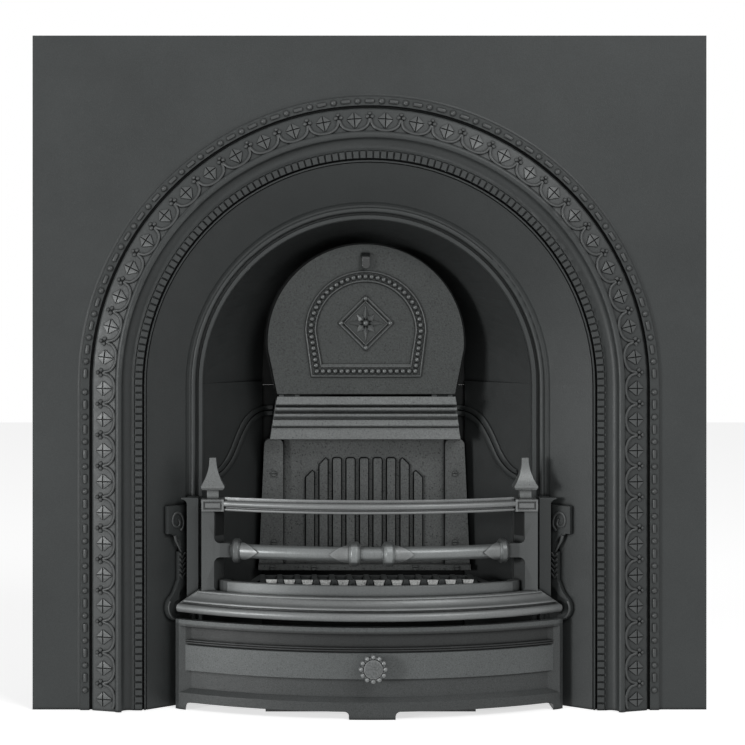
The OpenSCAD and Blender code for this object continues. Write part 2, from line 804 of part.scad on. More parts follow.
// A block beside the fluted panel: rounded at the top, flared towards its foot in front
// and clear of the splayed cheek behind
module side_brick() {
    inner_x = fire_back_half_w + 1;
    outer_x = back_half_w - 3;
    foot_x = outer_x + brick_flare;
    front_y = back_y - brick_depth;
    top_r = 9;
    difference() {
        intersection() {
            slab(front_y, brick_depth) {
                polygon([[inner_x, fire_back_low_z], [foot_x, fire_back_low_z],
                    [outer_x, fire_back_top_z - top_r], [inner_x, fire_back_top_z - top_r]]);
                translate([inner_x + top_r, fire_back_top_z - top_r - 1])
                    square([outer_x - inner_x - 2 * top_r, top_r + 1]);
                for (x = [inner_x + top_r, outer_x - top_r])
                    translate([x, fire_back_top_z - top_r]) circle(r=top_r);
            }
            linear_extrude(height=fire_back_top_z + 1) polygon([
                [inner_x - 1, front_y - 1], [foot_x + 1, front_y - 1],
                [foot_x + 1, chamber_depth - brick_depth / 2 + 2],
                [outer_x, chamber_depth - 2], [outer_x, back_y + 1], [inner_x - 1, back_y + 1]]);
        }
        at_brick_screws() along_y(bolt_r + bolt_gap, front_y - 1, back_y + 1);
    }
}

module side_brick_right() {
    color(dark_iron) at_face() side_brick();
}

module side_brick_left() {
    color(dark_iron) at_face() mirror([1, 0, 0]) side_brick();
}

// The ledge on which the fire back and the bricks stand
module back_ledge() {
    half_w = back_half_w + 6;
    low_z = ledge_top_z - ledge_h;
    front_y = back_y - ledge_depth;
    color(dark_iron) at_face() difference() {
        box([-half_w, front_y, low_z], [half_w, back_y, ledge_top_z]);
        at_ledge_screws() along_y(bolt_r + bolt_gap, front_y - 1, back_y + 1);
        both_sides() translate([0, 0, low_z - 1]) linear_extrude(height=ledge_h + 2) polygon([
            [cheek_x(front_y - 1), front_y - 1], [back_half_w, chamber_depth],
            [back_half_w, back_y + 1], [half_w + 1, back_y + 1], [half_w + 40, front_y - 1]]);
    }
}

// Round-headed screws that hold the bricks and the ledge to the back plate
module brick_screws() {
    color(steel) at_face() {
        at_brick_screws() round_screw(back_y - brick_depth);
        at_ledge_screws() round_screw(back_y - ledge_depth);
    }
}

module round_screw(seat) {
    along_y(bolt_r, seat - tiny, rear_y - 1);
    translate([0, seat, 0]) rotate([90, 0, 0]) difference() {
        cylinder(r=screw_head_r, h=2.5);
        translate([-screw_head_r, -0.6, 1.5]) cube([2 * screw_head_r, 1.2, 2]);
    }
}

// ---------- throat moulding and damper ----------

throat_edge_t = 4;
throat_foot_z = fire_back_top_z + 1;
throat_h = throat_top_z - throat_foot_z;
throat_fall = throat_foot_y - throat_front_y;

// Section of the moulding: two fasciae, two rolls and a tall edge, each further forward than
// the one below, as shares of its overhang and of its height
function throat_point(out, up) = [throat_foot_y - out * throat_fall, throat_foot_z + up * throat_h];
throat_front = [
    throat_point(0, 0), throat_point(0.06, 0.01), throat_point(0.06, 0.27),
    throat_point(0.02, 0.28), throat_point(0.02, 0.3), throat_point(0.28, 0.31),
    throat_point(0.31, 0.33), throat_point(0.28, 0.46), throat_point(0.24, 0.47),
    throat_point(0.24, 0.49), throat_point(0.5, 0.52), throat_point(0.5, 0.62),
    throat_point(0.46, 0.635), throat_point(0.46, 0.65), throat_point(0.72, 0.67),
    throat_point(0.72, 0.77), throat_point(0.66, 0.785), throat_point(0.66, 0.8),
    throat_point(0.97, 0.815), throat_point(1, 0.83), throat_point(1, 0.98),
    throat_point(0.97, 1)];

module throat_section(hollow) {
    edge_back_y = throat_front_y + throat_edge_t;
    edge = [[edge_back_y, throat_top_z], [edge_back_y, throat_seat_z], [back_y, throat_seat_z]];
    inside = [[back_y, throat_seat_z - throat_t],
        [throat_front_y + throat_t + 14, throat_seat_z - throat_t],
        [throat_foot_y + throat_t, throat_foot_z + 0.4 * throat_h],
        [throat_foot_y + throat_t, throat_foot_z]];
    polygon(concat(throat_front, edge, hollow ? inside : [[back_y, throat_foot_z]]));
    translate(throat_point(0.46, 0.57)) circle(r=3.2);
    translate(throat_point(0.68, 0.72)) circle(r=3.2);
}

module throat_length(hollow) {
    translate([-back_half_w, 0, 0]) rotate([90, 0, 90])
        linear_extrude(height=2 * back_half_w) throat_section(hollow);
}

module throat_moulding() {
    color(iron) at_face() difference() {
        union() {
            intersection() {
                throat_length(true);
                throat_sides(0);
            }
            intersection() {
                throat_length(false);
                throat_sides(0);
                difference() {
                    throat_sides(-1);
                    throat_sides(throat_t);
                }
            }
            both_sides() {
                for (x = [knuckle_x - lug_len - lug_gap, knuckle_x + knuckle_len + lug_gap])
                    hinge_lug(x);
                translate([lining_bolt_x, 0, lining_bolt_z[2]])
                    along_y(bolt_r + 5, throat_foot_y + 3, back_y);
            }
        }
        both_sides() translate([knuckle_x - lug_len - lug_gap - 1, hinge_y, hinge_z])
            rotate([0, 90, 0]) cylinder(r=pin_r + fit_gap, h=knuckle_len + 2 * lug_len + 4);
        at_lining_bolts() along_y(bolt_r + fit_gap, back_y - lining_bolt_depth - 1, back_y + 1);
    }
}

// The tapered block between the slanting ends of the moulding, drawn in from them
module throat_sides(inset) {
    slab(throat_front_y - 1, back_y - throat_front_y + 1) polygon([
        [-throat_foot_half_w + inset, throat_foot_z - 1],
        [-throat_top_half_w + inset, throat_top_z + 1],
        [throat_top_half_w - inset, throat_top_z + 1],
        [throat_foot_half_w - inset, throat_foot_z - 1]]);
}

module hinge_lug(x) {
    translate([x, hinge_y, hinge_z]) rotate([0, 90, 0]) cylinder(r=knuckle_r, h=lug_len);
    box([x, hinge_y - knuckle_r, throat_seat_z - 1],
        [x + lug_len, hinge_y + knuckle_r, hinge_z]);
}

module damper_pins() {
    color(steel) at_face() both_sides()
        translate([knuckle_x - lug_len - lug_gap, hinge_y, hinge_z]) rotate([0, 90, 0])
            cylinder(r=pin_r, h=knuckle_len + 2 * (lug_len + lug_gap));
}

// Puts a damper piece, drawn upright from its hinge, into its closed place
module at_hinge() {
    translate([0, hinge_y, hinge_z]) rotate([-damper_lean, 0, 0]) children();
}

// A round top on sides that taper to a straight foot; the sides meet the arc a little
// below its centre
module horseshoe(r, centre_z, foot_half_w, foot_z) {
    drop = shoulder_drop * r;
    shoulder_half_w = sqrt(r * r - drop * drop);
    round_above(centre_z, r, centre_z - drop);
    polygon([[-foot_half_w, foot_z], [foot_half_w, foot_z], [shoulder_half_w, centre_z - drop],
        [0, centre_z], [-shoulder_half_w, centre_z - drop]]);
}

// Outline of the arched border on the damper plate, drawn in from its outer edge
module border_outline(inset) {
    horseshoe(border_half_w - inset, damper_foot_z + border_top - border_half_w,
        border_half_w - 8.7 - inset, damper_foot_z + 25 + inset);
}

module damper_plate() {
    back = -hinge_offset;
    front = back - damper_t;
    color(iron) at_face() at_hinge() difference() {
        union() {
            slab(front, damper_t)
                horseshoe(damper_r, damper_centre_rise, damper_foot_half_w, damper_foot_z);
            slab(front - border_proud, border_proud + 1) difference() {
                border_outline(0);
                border_outline(border_w);
            }
            slab(front - border_proud, border_proud + 1) difference() {
                diamond(diamond_half);
                diamond(diamond_half - 5);
            }
            both_sides() {
                translate([knuckle_x, 0, 0]) rotate([0, 90, 0])
                    cylinder(r=knuckle_r, h=knuckle_len);
                box([knuckle_x, back - 1, damper_foot_z], [knuckle_x + knuckle_len, 0, knuckle_r]);
            }
        }
        both_sides() translate([knuckle_x - 1, 0, 0]) rotate([0, 90, 0])
            cylinder(r=pin_r + fit_gap, h=knuckle_len + 2);
        translate([0, 0, hook_pin_z]) along_y(hook_pin_r + fit_gap, front - 1, back - 1);
    }
}

module diamond(half) {
    translate([0, damper_foot_z + diamond_rise])
        polygon([[0, -half], [half, 0], [0, half], [-half, 0]]);
}

// The hook by which the damper plate is pulled forward with a poker
hook_r = 11;
hook_t = 5;
hook_pin_r = 2;
hook_centre_z = damper_foot_z + hook_top_rise - hook_r;
hook_pin_z = hook_centre_z + hook_r - hook_t / 2;
module damper_hook() {
    front = -hinge_offset - damper_t;
    prong_z = hook_r - hook_h + hook_w / 2;
    color(iron) at_face() at_hinge() translate([0, front, hook_centre_z]) {
        rotate([0, 90, 0]) rotate_extrude(angle=90, start=180)
            translate([hook_r - hook_t, -hook_w / 2]) square([hook_t, hook_w]);
        slab(-hook_r, hook_t) {
            translate([-hook_w / 2, prong_z]) square([hook_w, -prong_z]);
            translate([0, prong_z]) circle(r=hook_w / 2);
        }
        translate([0, 0, hook_r - hook_t / 2]) along_y(hook_pin_r, -1, damper_t - 1.2);
    }
}

// A short duct that carries the flue from the crown's back to the closed damper plate
module damper_collar() {
    half = damper_r - collar_lap;
    wall = cheek_t;
    rim_t_front = 3.5;
    floor_z = hinge_z + knuckle_r + 4;
    front_cut = -hinge_offset + seat_gap;
    color(dark_iron) at_face() difference() {
        union() {
            intersection() {
                slab(hinge_y - 10, back_y - hinge_y + 10) difference() {
                    round_above(throat_z, half, floor_z);
                    round_above(throat_z, half - wall, floor_z + wall);
                }
                at_hinge() box([-damper_r, front_cut, -10],
                    [damper_r, back_y, 3 * damper_r]);
            }
            at_hinge() slab(front_cut, rim_t_front) difference() {
                intersection() {
                    horseshoe(damper_r + damper_rim, damper_centre_rise,
                        damper_foot_half_w + damper_rim, damper_foot_z);
                    translate([-2 * damper_r, knuckle_r + 6]) square([4 * damper_r, 4 * damper_r]);
                }
                round_above(damper_centre_rise, half - wall + 1, floor_z - hinge_z + wall - 1);
            }
            slab(back_y, back_t) difference() {
                round_above(throat_z, collar_flange_r, spring_z - 6 + seat_gap);
                round_above(throat_z, half - wall, floor_z + wall);
            }
        }
        at_collar_bolts() along_y(bolt_r + bolt_gap, back_y - 1, rear_y + 1);
    }
}

// ---------- basket front ----------

// Plan of a post: a flat face, a receding facet towards the fire and a square back
module post_plan() {
    face_x = post_outer_x - post_face_w;
    polygon([[post_outer_x, post_front_y], [face_x, post_front_y],
        [post_inner_x, post_front_y + 16], [post_inner_x, post_back_y],
        [post_outer_x, post_back_y]]);
}

// The branch that joins the middle bar to a post, with a rounded corner above and below
module post_branch() {
    face_x = post_outer_x - post_face_w;
    fillet_r = 9;
    depth = 2 * bar_r;
    slab(post_front_y, depth) difference() {
        translate([outer_collar_x, bar_z - bar_r - fillet_r])
            square([face_x + 1 - outer_collar_x, 2 * (bar_r + fillet_r)]);
        for (side = [-1, 1]) translate([0, bar_z + side * (bar_r + fillet_r)]) {
            translate([face_x - fillet_r, 0]) circle(r=fillet_r);
            translate([outer_collar_x - 1, -fillet_r])
                square([face_x - fillet_r - outer_collar_x + 1, 2 * fillet_r]);
        }
    }
}

// The rounded corner between a post's face and the shelf
module post_foot() {
    face_x = post_outer_x - post_face_w;
    fillet_r = 7;
    slab(post_front_y, post_facet_w / 2) difference() {
        translate([face_x - fillet_r, shelf_top_z]) square([fillet_r + 1, fillet_r]);
        translate([face_x - fillet_r, shelf_top_z + fillet_r]) circle(r=fillet_r);
    }
}

// A collar round the middle bar: a flat ring between sloping shoulders. Its width is
// scaled by wide and it is turned by turn of the angle at which the bar runs there.
module bar_collar(x, wide, turn) {
    a = asin(x / bar_path_r);
    w = wide * collar_half_w;
    neck_r = bar_r + 1;
    translate([x, rail_centre_y - bar_path_r * cos(a), bar_z]) rotate([0, 0, turn * a])
        rotate([0, 90, 0]) rotate_extrude() polygon([
            [0, -1.6 * w], [bar_r - 2, -1.6 * w], [neck_r, -1.15 * w], [collar_r - 3, -w],
            [collar_r - 0.4, -0.6 * w], [collar_r, -0.45 * w], [collar_r, 0.45 * w],
            [collar_r - 0.4, 0.6 * w], [collar_r - 3, w], [neck_r, 1.15 * w],
            [bar_r - 2, 1.6 * w], [0, 1.6 * w]]);
}

// The lip's end turns back to meet the facet of the post. Both in plan: the block it
// turns into, and what it leaves free in front of it
module lip_end_block() {
    translate([post_inner_x, post_front_y])
        polygon([[-10, -5], [8, 8], [2, 18], [-4, 16], [-12, 2]]);
}

module lip_end_room() {
    translate([post_inner_x, lip_end_y]) polygon([[-14, -30], [-14, -9.5], [-5, -4.5], [1, 1],
        [5, 6], [7.8, 12], [36, 12], [36, -30]]);
}

module basket_lip() {
    difference() {
        union() {
            bow(lip_centre_y, lip_angle) polygon([
                [lip_r - lip_plate_t, shelf_top_z], [lip_r, shelf_top_z],
                [lip_r, lip_top_z - 1.5], [lip_r - 1.5, lip_top_z],
                [lip_r - lip_plate_t, lip_top_z]]);
            both_sides() translate([0, 0, shelf_top_z])
                linear_extrude(height=lip_h) lip_end_block();
        }
        both_sides() translate([0, 0, shelf_top_z - 1])
            linear_extrude(height=lip_h + 2) lip_end_room();
    }
}

module basket_front() {
    color(worn_iron) at_face() difference() {
        union() {
            both_sides() {
                translate([0, 0, shelf_top_z])
                    linear_extrude(height=post_top_z - shelf_top_z) post_plan();
                post_branch();
                post_foot();
            }
            bow(rail_centre_y, asin(outer_collar_x / bar_path_r))
                translate([bar_path_r, bar_z]) circle(r=bar_r);
            for (side = [-1, 1]) {
                bar_collar(side * inner_collar_x, 1, 1);
                bar_collar(side * outer_collar_x, 0.8, 0.3);
            }
            basket_lip();
        }
        both_sides() translate([post_mid_x, post_centre_y, post_top_z - stud_depth - screw_spare])
            cylinder(r=stud_r + fit_gap, h=stud_depth + screw_spare + 1);
        at_basket_screws() along_y(bolt_r + fit_gap,
            post_back_y - basket_screw_depth - screw_spare, post_back_y + 1);
    }
}

module at_basket_screws() {
    for (x = [-post_mid_x, post_mid_x], z = basket_screw_z) translate([x, 0, z]) children();
}

// The bowed rail with a block at each end that sits on the post
module top_rail() {
    roll_r_big = 4.6;
    roll_r_small = 2.3;
    block_front_y = post_front_y - 2;
    color(worn_iron) at_face() difference() {
        union() {
            bow(rail_centre_y, rail_angle) {
                translate([rail_r - 12, post_top_z + 0.5]) square([8, rail_h - 2]);
                translate([rail_r - 12, post_top_z + 0.5]) square([5, rail_h + 2.5]);
                translate([rail_r - roll_r_big, post_top_z + 10.9]) circle(r=roll_r_big);
                translate([rail_r - roll_r_big, post_top_z + 2.8]) circle(r=roll_r_small);
            }
            both_sides() box([post_inner_x, block_front_y, post_top_z],
                [post_outer_x, block_back_y, rail_top_z]);
        }
        both_sides() {
            translate([post_mid_x, post_centre_y, post_top_z - 1])
                cylinder(r=stud_r + bolt_gap, h=rail_h + 2);
            difference() {
                block_panel(3, block_front_y - 1, block_front_y + 1.5);
                block_panel(5.2, block_front_y + 0.5, block_front_y + 2);
            }
        }
    }
}

// A rectangle on the front of an end block, drawn in from its edges, from depth y0 to y1
module block_panel(inset, y0, y1) {
    box([post_inner_x + inset, y0, post_top_z + inset], [post_outer_x - inset, y1, rail_top_z - inset]);
}

// Square finial with hollow flared sides on a square neck
module finial_profile() {
    neck_top_z = rail_top_z + finial_neck_h;
    bevel = 2.2;
    both_sides() {
        difference() {
            translate([0, neck_top_z]) polygon([[-1, 0], [finial_half_w - bevel, 0],
                [finial_half_w, 1.5 * bevel], [finial_half_w, finial_h], [-1, finial_h]]);
            translate([finial_tip_half_w + finial_curve_r, neck_top_z + finial_h])
                circle(r=finial_curve_r);
        }
        translate([-1, rail_top_z]) square([finial_neck_half_w + 1, finial_neck_h + 1]);
    }
}

module finial() {
    translate([post_mid_x, post_centre_y, 0]) difference() {
        intersection() {
            slab(-finial_half_w, 2 * finial_half_w) finial_profile();
            rotate([0, 0, 90]) slab(-finial_half_w, 2 * finial_half_w) finial_profile();
        }
        translate([0, 0, rail_top_z - 1]) cylinder(r=stud_r + fit_gap, h=finial_neck_h + 1);
    }
}

module finial_right() {
    color(worn_iron) at_face() finial();
}

module finial_left() {
    color(worn_iron) at_face() mirror([1, 0, 0]) finial();
}

// Threaded studs that pass from the finials through the end blocks into the posts
module finial_studs() {
    color(steel) at_face() both_sides()
        translate([post_mid_x, post_centre_y, post_top_z - stud_depth])
            cylinder(r=stud_r, h=stud_depth + rail_h + finial_neck_h - screw_spare);
}

// ---------- hearth shelf ----------

// Everything in front of the splayed panels and the band round the opening, in plan
module shelf_room() {
    rear = seat_gap + 0.2;
    polygon([
        [-r_panel_out, -shelf_proud - 20], [r_panel_out, -shelf_proud - 20],
        [r_panel_out, panel_out_y - rear], [r_panel_in, panel_in_y - rear],
        [r_panel_in - 5, bracket_back_y], [opening_r - 3, bracket_back_y],
        [opening_r - 3, seat_y], [-opening_r + 3, seat_y],
        [-opening_r + 3, bracket_back_y], [-r_panel_in + 5, bracket_back_y],
        [-r_panel_in, panel_in_y - rear], [-r_panel_out, panel_out_y - rear]]);
}

// Cuts the ends of the shelf away along a slope that falls to the tips
module hip_cut() {
    hip_w = shelf_half_w - hip_in_x;
    slab(-shelf_proud - hip_w, shelf_proud + hip_w + seat_y) polygon([
        [hip_in_x - hip_w, shelf_top_z + hip_drop],
        [hip_in_x + 2 * hip_w, shelf_top_z + hip_drop],
        [hip_in_x + 2 * hip_w, shelf_top_z - 2 * hip_drop]]);
}

// Points of a line from a to b that sags to its right by sag
function sagging(a, b, sag, steps=8) = let (d = b - a, side = [d[1], -d[0]] / norm(d))
    [for (i = [0 : steps]) a + d * i / steps + side * sag * 4 * (i / steps) * (1 - i / steps)];

// Section of the shelf: a fillet over a quirk, a cavetto, a nosing, a second quirk and a roll
module shelf_section() {
    nose_z = shelf_low_z + 2 * shelf_roll_r + 3;
    nose_r = shelf_r - 4.5;
    cove_top_z = shelf_top_z - 3.4;
    cove_low_z = nose_z + 3;
    polygon(concat(
        [[shelf_inner_r, shelf_foot_z], [shelf_inner_r, shelf_top_z],
            [shelf_fillet_r + 0.7, shelf_top_z], [shelf_fillet_r + 1.5, shelf_top_z - 0.8],
            [shelf_fillet_r + 1.5, shelf_top_z - 2], [shelf_fillet_r - 0.5, shelf_top_z - 2]],
        sagging([shelf_fillet_r - 0.5, cove_top_z], [nose_r - 1.5, cove_low_z], 1.8),
        [[nose_r, cove_low_z - 1], [nose_r, nose_z],
            [nose_r - 3, nose_z - 0.8], [nose_r - 3, shelf_low_z + shelf_roll_r],
            [shelf_r - shelf_roll_r, shelf_low_z], [shelf_r - 14, shelf_low_z],
            [shelf_r - 15, shelf_foot_z]]));
    translate([shelf_r - shelf_roll_r, shelf_low_z + shelf_roll_r]) circle(r=shelf_roll_r);
}

module hearth_shelf() {
    color(worn_iron) at_face() difference() {
        intersection() {
            union() {
                bow(lip_centre_y, shelf_angle) shelf_section();
                both_sides() intersection() {
                    bow(lip_centre_y, shelf_angle) translate([shelf_inner_r - 10, shelf_low_z])
                        square([shelf_fillet_r - 12 - shelf_inner_r, shelf_top_z - shelf_low_z]);
                    box([hip_in_x + 4, -shelf_proud, 0], [shelf_half_w, seat_y, shelf_top_z]);
                }
            }
            linear_extrude(height=spring_z) shelf_room();
        }
        both_sides() hip_cut();
        at_shelf_screws() along_y(bolt_r + fit_gap, shelf_screw_tip_y - screw_spare, seat_y);
    }
}

// ---------- scroll brackets ----------

// The flat upright, the tongue behind the post and the scroll that lies on the panel
module scroll_bracket() {
    tongue_low_z = shelf_top_z + 14;
    difference() {
        union() {
            difference() {
                union() {
                    box([bracket_inner_x, bracket_y, shelf_top_z - hip_drop],
                        [bracket_outer_x, bracket_back_y, bracket_top_z]);
                    scroll_relief();
                    strip_flare();
                }
                slab(0, seat_y) polygon([
                    [hip_in_x - 20, shelf_low_z - seat_gap],
                    [hip_in_x - 20, shelf_top_z + seat_gap],
                    [hip_in_x, shelf_top_z + seat_gap],
                    [shelf_half_w + seat_gap, shelf_top_z - hip_drop + seat_gap],
                    [shelf_half_w + seat_gap, shelf_low_z - seat_gap]]);
            }
            box([post_mid_x - 10, tongue_y, tongue_low_z],
                [bracket_inner_x + 2, tongue_y + tongue_t, post_top_z]);
        }
        at_bracket_screws() along_y(bolt_r + fit_gap, bracket_screw_tip_y - screw_spare, seat_y);
        at_basket_screws() along_y(bolt_r + bolt_gap, tongue_y - 1, tongue_y + tongue_t + 1);
    }
}

// Places an outline drawn in distance up the splay and height flat on the splayed panel
module on_panel(lift, t) {
    translate([r_panel_in, panel_in_y, 0]) rotate([0, 0, -panel_angle])
        translate([0, -lift, 0]) rotate([90, 0, 0]) linear_extrude(height=t) children();
}

// The scroll block, its neck, the straight stem and the curl that sweeps out round the
// shelf's tip
module scroll_relief() {
    block_low_z = bracket_top_z - 52;
    block_w = 41;
    block_h = 40;
    neck_r = 16.5;
    neck_x = 33;
    neck_h = 28;
    stem_w = 20.5;
    stem_foot_z = shelf_top_z + 11;
    curl_z = shelf_low_z + 4.5;
    curl_x = 22;
    on_panel(0.1, scroll_t) {
        translate([-2, block_low_z]) square([block_w + 2, block_h]);
        difference() {
            translate([-2, block_low_z - neck_h]) square([neck_x + 2, neck_h + 1]);
            translate([neck_x, block_low_z - neck_r - 2]) circle(r=neck_r);
            translate([neck_x - neck_r, block_low_z - neck_h - 1])
                square([neck_r + 1, neck_h - neck_r]);
        }
        translate([-2, stem_foot_z]) square([stem_w + 2, block_low_z - neck_h - stem_foot_z + 1]);
        polygon([[-2, stem_foot_z + 1], [stem_w, stem_foot_z + 1], [stem_w + 8.5, stem_foot_z - 16],
            [curl_x + 16, curl_z + 11], [curl_x + 11, curl_z + 4], [curl_x + 5, curl_z + 11],
            [stem_w - 5, stem_foot_z - 12]]);
        difference() {
            translate([curl_x + 1, curl_z]) circle(r=19.5);
            translate([curl_x - 1, curl_z]) circle(r=10.5);
            translate([curl_x - 30, curl_z - 30]) square([28, 60]);
        }
    }
}

// A small flare at the top of the strip
module strip_flare() {
    flare_w = 8;
    slab(bracket_y, 13) difference() {
        translate([bracket_outer_x - 1, bracket_top_z - flare_w - 2])
            square([flare_w + 1, flare_w + 2]);
        translate([bracket_outer_x + flare_w, bracket_top_z - flare_w - 2]) circle(r=flare_w);
    }
}

module scroll_bracket_right() {
    color(iron) at_face() scroll_bracket();
}

module scroll_bracket_left() {
    color(iron) at_face() mirror([1, 0, 0]) scroll_bracket();
}

// ---------- grate ----------

// A bar whose section narrows upwards, from the front edge to the back edge
module grate_bar() {
    foot = grate_bar_foot_w / 2;
    top = grate_bar_top_w / 2;
    translate([0, grate_back_y, grate_foot_z]) rotate([90, 0, 0])
        linear_extrude(height=grate_len) polygon([[-foot, 0], [foot, 0], [top, grate_t], [-top, grate_t]]);
}

// Plan of the grate, drawn in from its edge
module grate_plan(inset=0) {
    front_y = -grate_proud + inset;
    back_y_edge = grate_back_y - inset;
    flat = grate_front_half_w - grate_corner_w - 0.4 * inset;
    side = grate_front_half_w - inset;
    rear = grate_rear_half_w - inset;
    polygon([[-flat, front_y], [flat, front_y], [side, 2 + 0.5 * inset], [side, 12],
        [rear, back_y_edge], [-rear, back_y_edge], [-side, 12], [-side, 2 + 0.5 * inset]]);
}

module bottom_grate() {
    frame_h = grate_t - 1;
    front_drop = 5;
    color(iron) at_face() {
        intersection() {
            for (i = [0 : grate_bars - 1])
                translate([(i - (grate_bars - 1) / 2) * grate_pitch, 0, 0]) grate_bar();
            translate([0, 0, grate_foot_z]) linear_extrude(height=grate_t) grate_plan();
        }
        translate([0, 0, grate_foot_z]) difference() {
            linear_extrude(height=frame_h) grate_plan();
            translate([0, 0, -1]) linear_extrude(height=frame_h + 2) grate_plan(grate_frame_w);
            translate([-grate_rear_half_w - 40, -grate_proud - 1, frame_h - front_drop])
                cube([2 * grate_rear_half_w + 80, grate_proud + 8, front_drop + 1]);
        }
    }
}

// ---------- ash-pan cover ----------

// What is sunk into the cover's front: a lower panel with a bevelled foot, a less deep
// fascia over it, two fine ribs and an upper panel. The ends are bevelled.
module cover_sinks() {
    foot_z = 23;
    panel_low_z = foot_z + 8;
    fascia_low_z = 56;
    fascia_top_z = cover_h - 36.7;
    sink_top_z = cover_h - 9;
    rib_h = 2;
    quirk_h = 1;
    out_r = cover_r + 1;
    deep_r = cover_r - cover_recess;
    fascia_r = cover_r - cover_fascia;
    quirk_r = fascia_r - 2.2;
    rib_low_z = fascia_top_z + 2 * quirk_h + rib_h / 2;
    next_low_z = rib_low_z + rib_h + quirk_h;
    end_x = cover_half_w - 24;
    end_y = cover_centre_y - sqrt(pow(deep_r, 2) - pow(end_x, 2));
    far_x = end_x + 3 * (cover_edge_x - end_x);
    far_y = end_y + 3 * (cover_edge_y - end_y);
    intersection() {
        bow(cover_centre_y, cover_angle) polygon([
            [out_r, foot_z], [deep_r, panel_low_z], [deep_r, fascia_low_z],
            [fascia_r, fascia_low_z], [fascia_r, fascia_top_z],
            [quirk_r, rib_low_z - quirk_h], [quirk_r, rib_low_z],
            [fascia_r, rib_low_z], [fascia_r, rib_low_z + rib_h],
            [quirk_r, rib_low_z + rib_h], [quirk_r, next_low_z],
            [fascia_r, next_low_z], [fascia_r, next_low_z + rib_h],
            [deep_r, next_low_z + rib_h], [deep_r, sink_top_z - 1], [out_r, sink_top_z]]);
        linear_extrude(height=cover_h) polygon([
            [-end_x, end_y], [-far_x, far_y], [-end_x, -2 * cover_proud],
            [end_x, -2 * cover_proud], [far_x, far_y], [end_x, end_y]]);
    }
}

// Bevels the cover's upright edges back, in plan
module cover_edge_cut() {
    both_sides() translate([cover_edge_x, cover_edge_y - 0.1, -1])
        linear_extrude(height=cover_h + 2)
            polygon([[0, 0], [2 * cover_edge_w, 2.2 * cover_edge_w],
                [2 * cover_edge_w, -cover_proud], [0, -cover_proud]]);
}

module ash_cover() {
    foot_in_x = cover_foot_half_w;
    foot_out_x = cover_half_w - 16;
    foot_r = 7;
    color(iron) at_face() difference() {
        union() {
            bow(cover_centre_y, cover_angle) translate([cover_r - cover_t, 0])
                square([cover_t, cover_h]);
            both_sides() cover_return();
        }
        cover_sinks();
        cover_edge_cut();
        both_sides() slab(-2 * cover_proud, 3 * cover_proud) {
            translate([foot_in_x, -1]) square([foot_out_x - foot_in_x, cover_foot_h - foot_r + 1]);
            translate([foot_in_x + foot_r, -1])
                square([foot_out_x - foot_in_x - 2 * foot_r, cover_foot_h + 1]);
            for (x = [foot_in_x + foot_r, foot_out_x - foot_r])
                translate([x, cover_foot_h - foot_r]) circle(r=foot_r);
        }
        translate([0, 0, knob_z]) along_y(bolt_r + bolt_gap, -2 * cover_proud, 0);
    }
}

// A wing at each end that reaches back to the splayed panel and steadies the cover
module cover_return() {
    wing_t = 6;
    front_y = cover_centre_y - sqrt(pow(cover_r - cover_t / 2, 2) - pow(cover_half_w - 9, 2));
    rear = seat_gap + 0.2;
    slope = panel_fall / panel_w;
    wing_x = cover_half_w - 10;
    linear_extrude(height=cover_h - 6) polygon([
        [wing_x - wing_t, front_y - 3], [wing_x, front_y - 3],
        [wing_x, panel_in_y - (wing_x - r_panel_in) * slope - rear],
        [wing_x - wing_t, panel_in_y - (wing_x - r_panel_in) * slope - rear]]);
}

// The knob: a foot, a neck and a disc with a lobed rim
module cover_knob() {
    disc_t = 9;
    lobe_r = 0.8 * knob_r * sin(180 / knob_lobes) / (1 + sin(180 / knob_lobes));
    color(worn_iron) at_face() translate([0, knob_y, knob_z]) rotate([90, 0, 0]) difference() {
        union() {
            cylinder(r=11, h=3);
            cylinder(r=7, h=knob_proud - disc_t + 1);
            translate([0, 0, knob_proud - disc_t]) cylinder(r=knob_r - 1.2 * lobe_r, h=disc_t - 2);
            translate([0, 0, knob_proud - disc_t]) cylinder(r=knob_r - 2.2 * lobe_r, h=disc_t);
            for (i = [0 : knob_lobes - 1]) rotate([0, 0, i * 360 / knob_lobes])
                translate([knob_r - lobe_r, 0, knob_proud - disc_t / 2 - 1]) sphere(r=lobe_r);
        }
        translate([0, 0, -1]) cylinder(r=bolt_r + fit_gap, h=13);
    }
}

module knob_screw() {
    inner_y = -cover_proud + cover_t + 0.08;
    color(steel) at_face() translate([0, 0, knob_z]) {
        along_y(bolt_r, knob_y - 10, inner_y + 0.5);
        along_y(bolt_r + 3, inner_y, inner_y + 3);
    }
}

// ---------- ash pan ----------

pan_front_y = -30;
module ash_pan() {
    low_z = 3;
    ledge_half_w = pan_half_w + pan_rim_w;
    y1 = pan_front_y + pan_len;
    color(steel) at_face() {
        difference() {
            box([-pan_half_w, pan_front_y, low_z], [pan_half_w, y1, pan_rim_z]);
            box([-pan_half_w + pan_t, pan_front_y + pan_t, low_z + pan_t],
                [pan_half_w - pan_t, y1 - pan_t, pan_rim_z + 1]);
        }
        both_sides() box([pan_half_w - tiny, pan_front_y, pan_rim_z - pan_t],
            [ledge_half_w, y1 - 10, pan_rim_z]);
    }
}

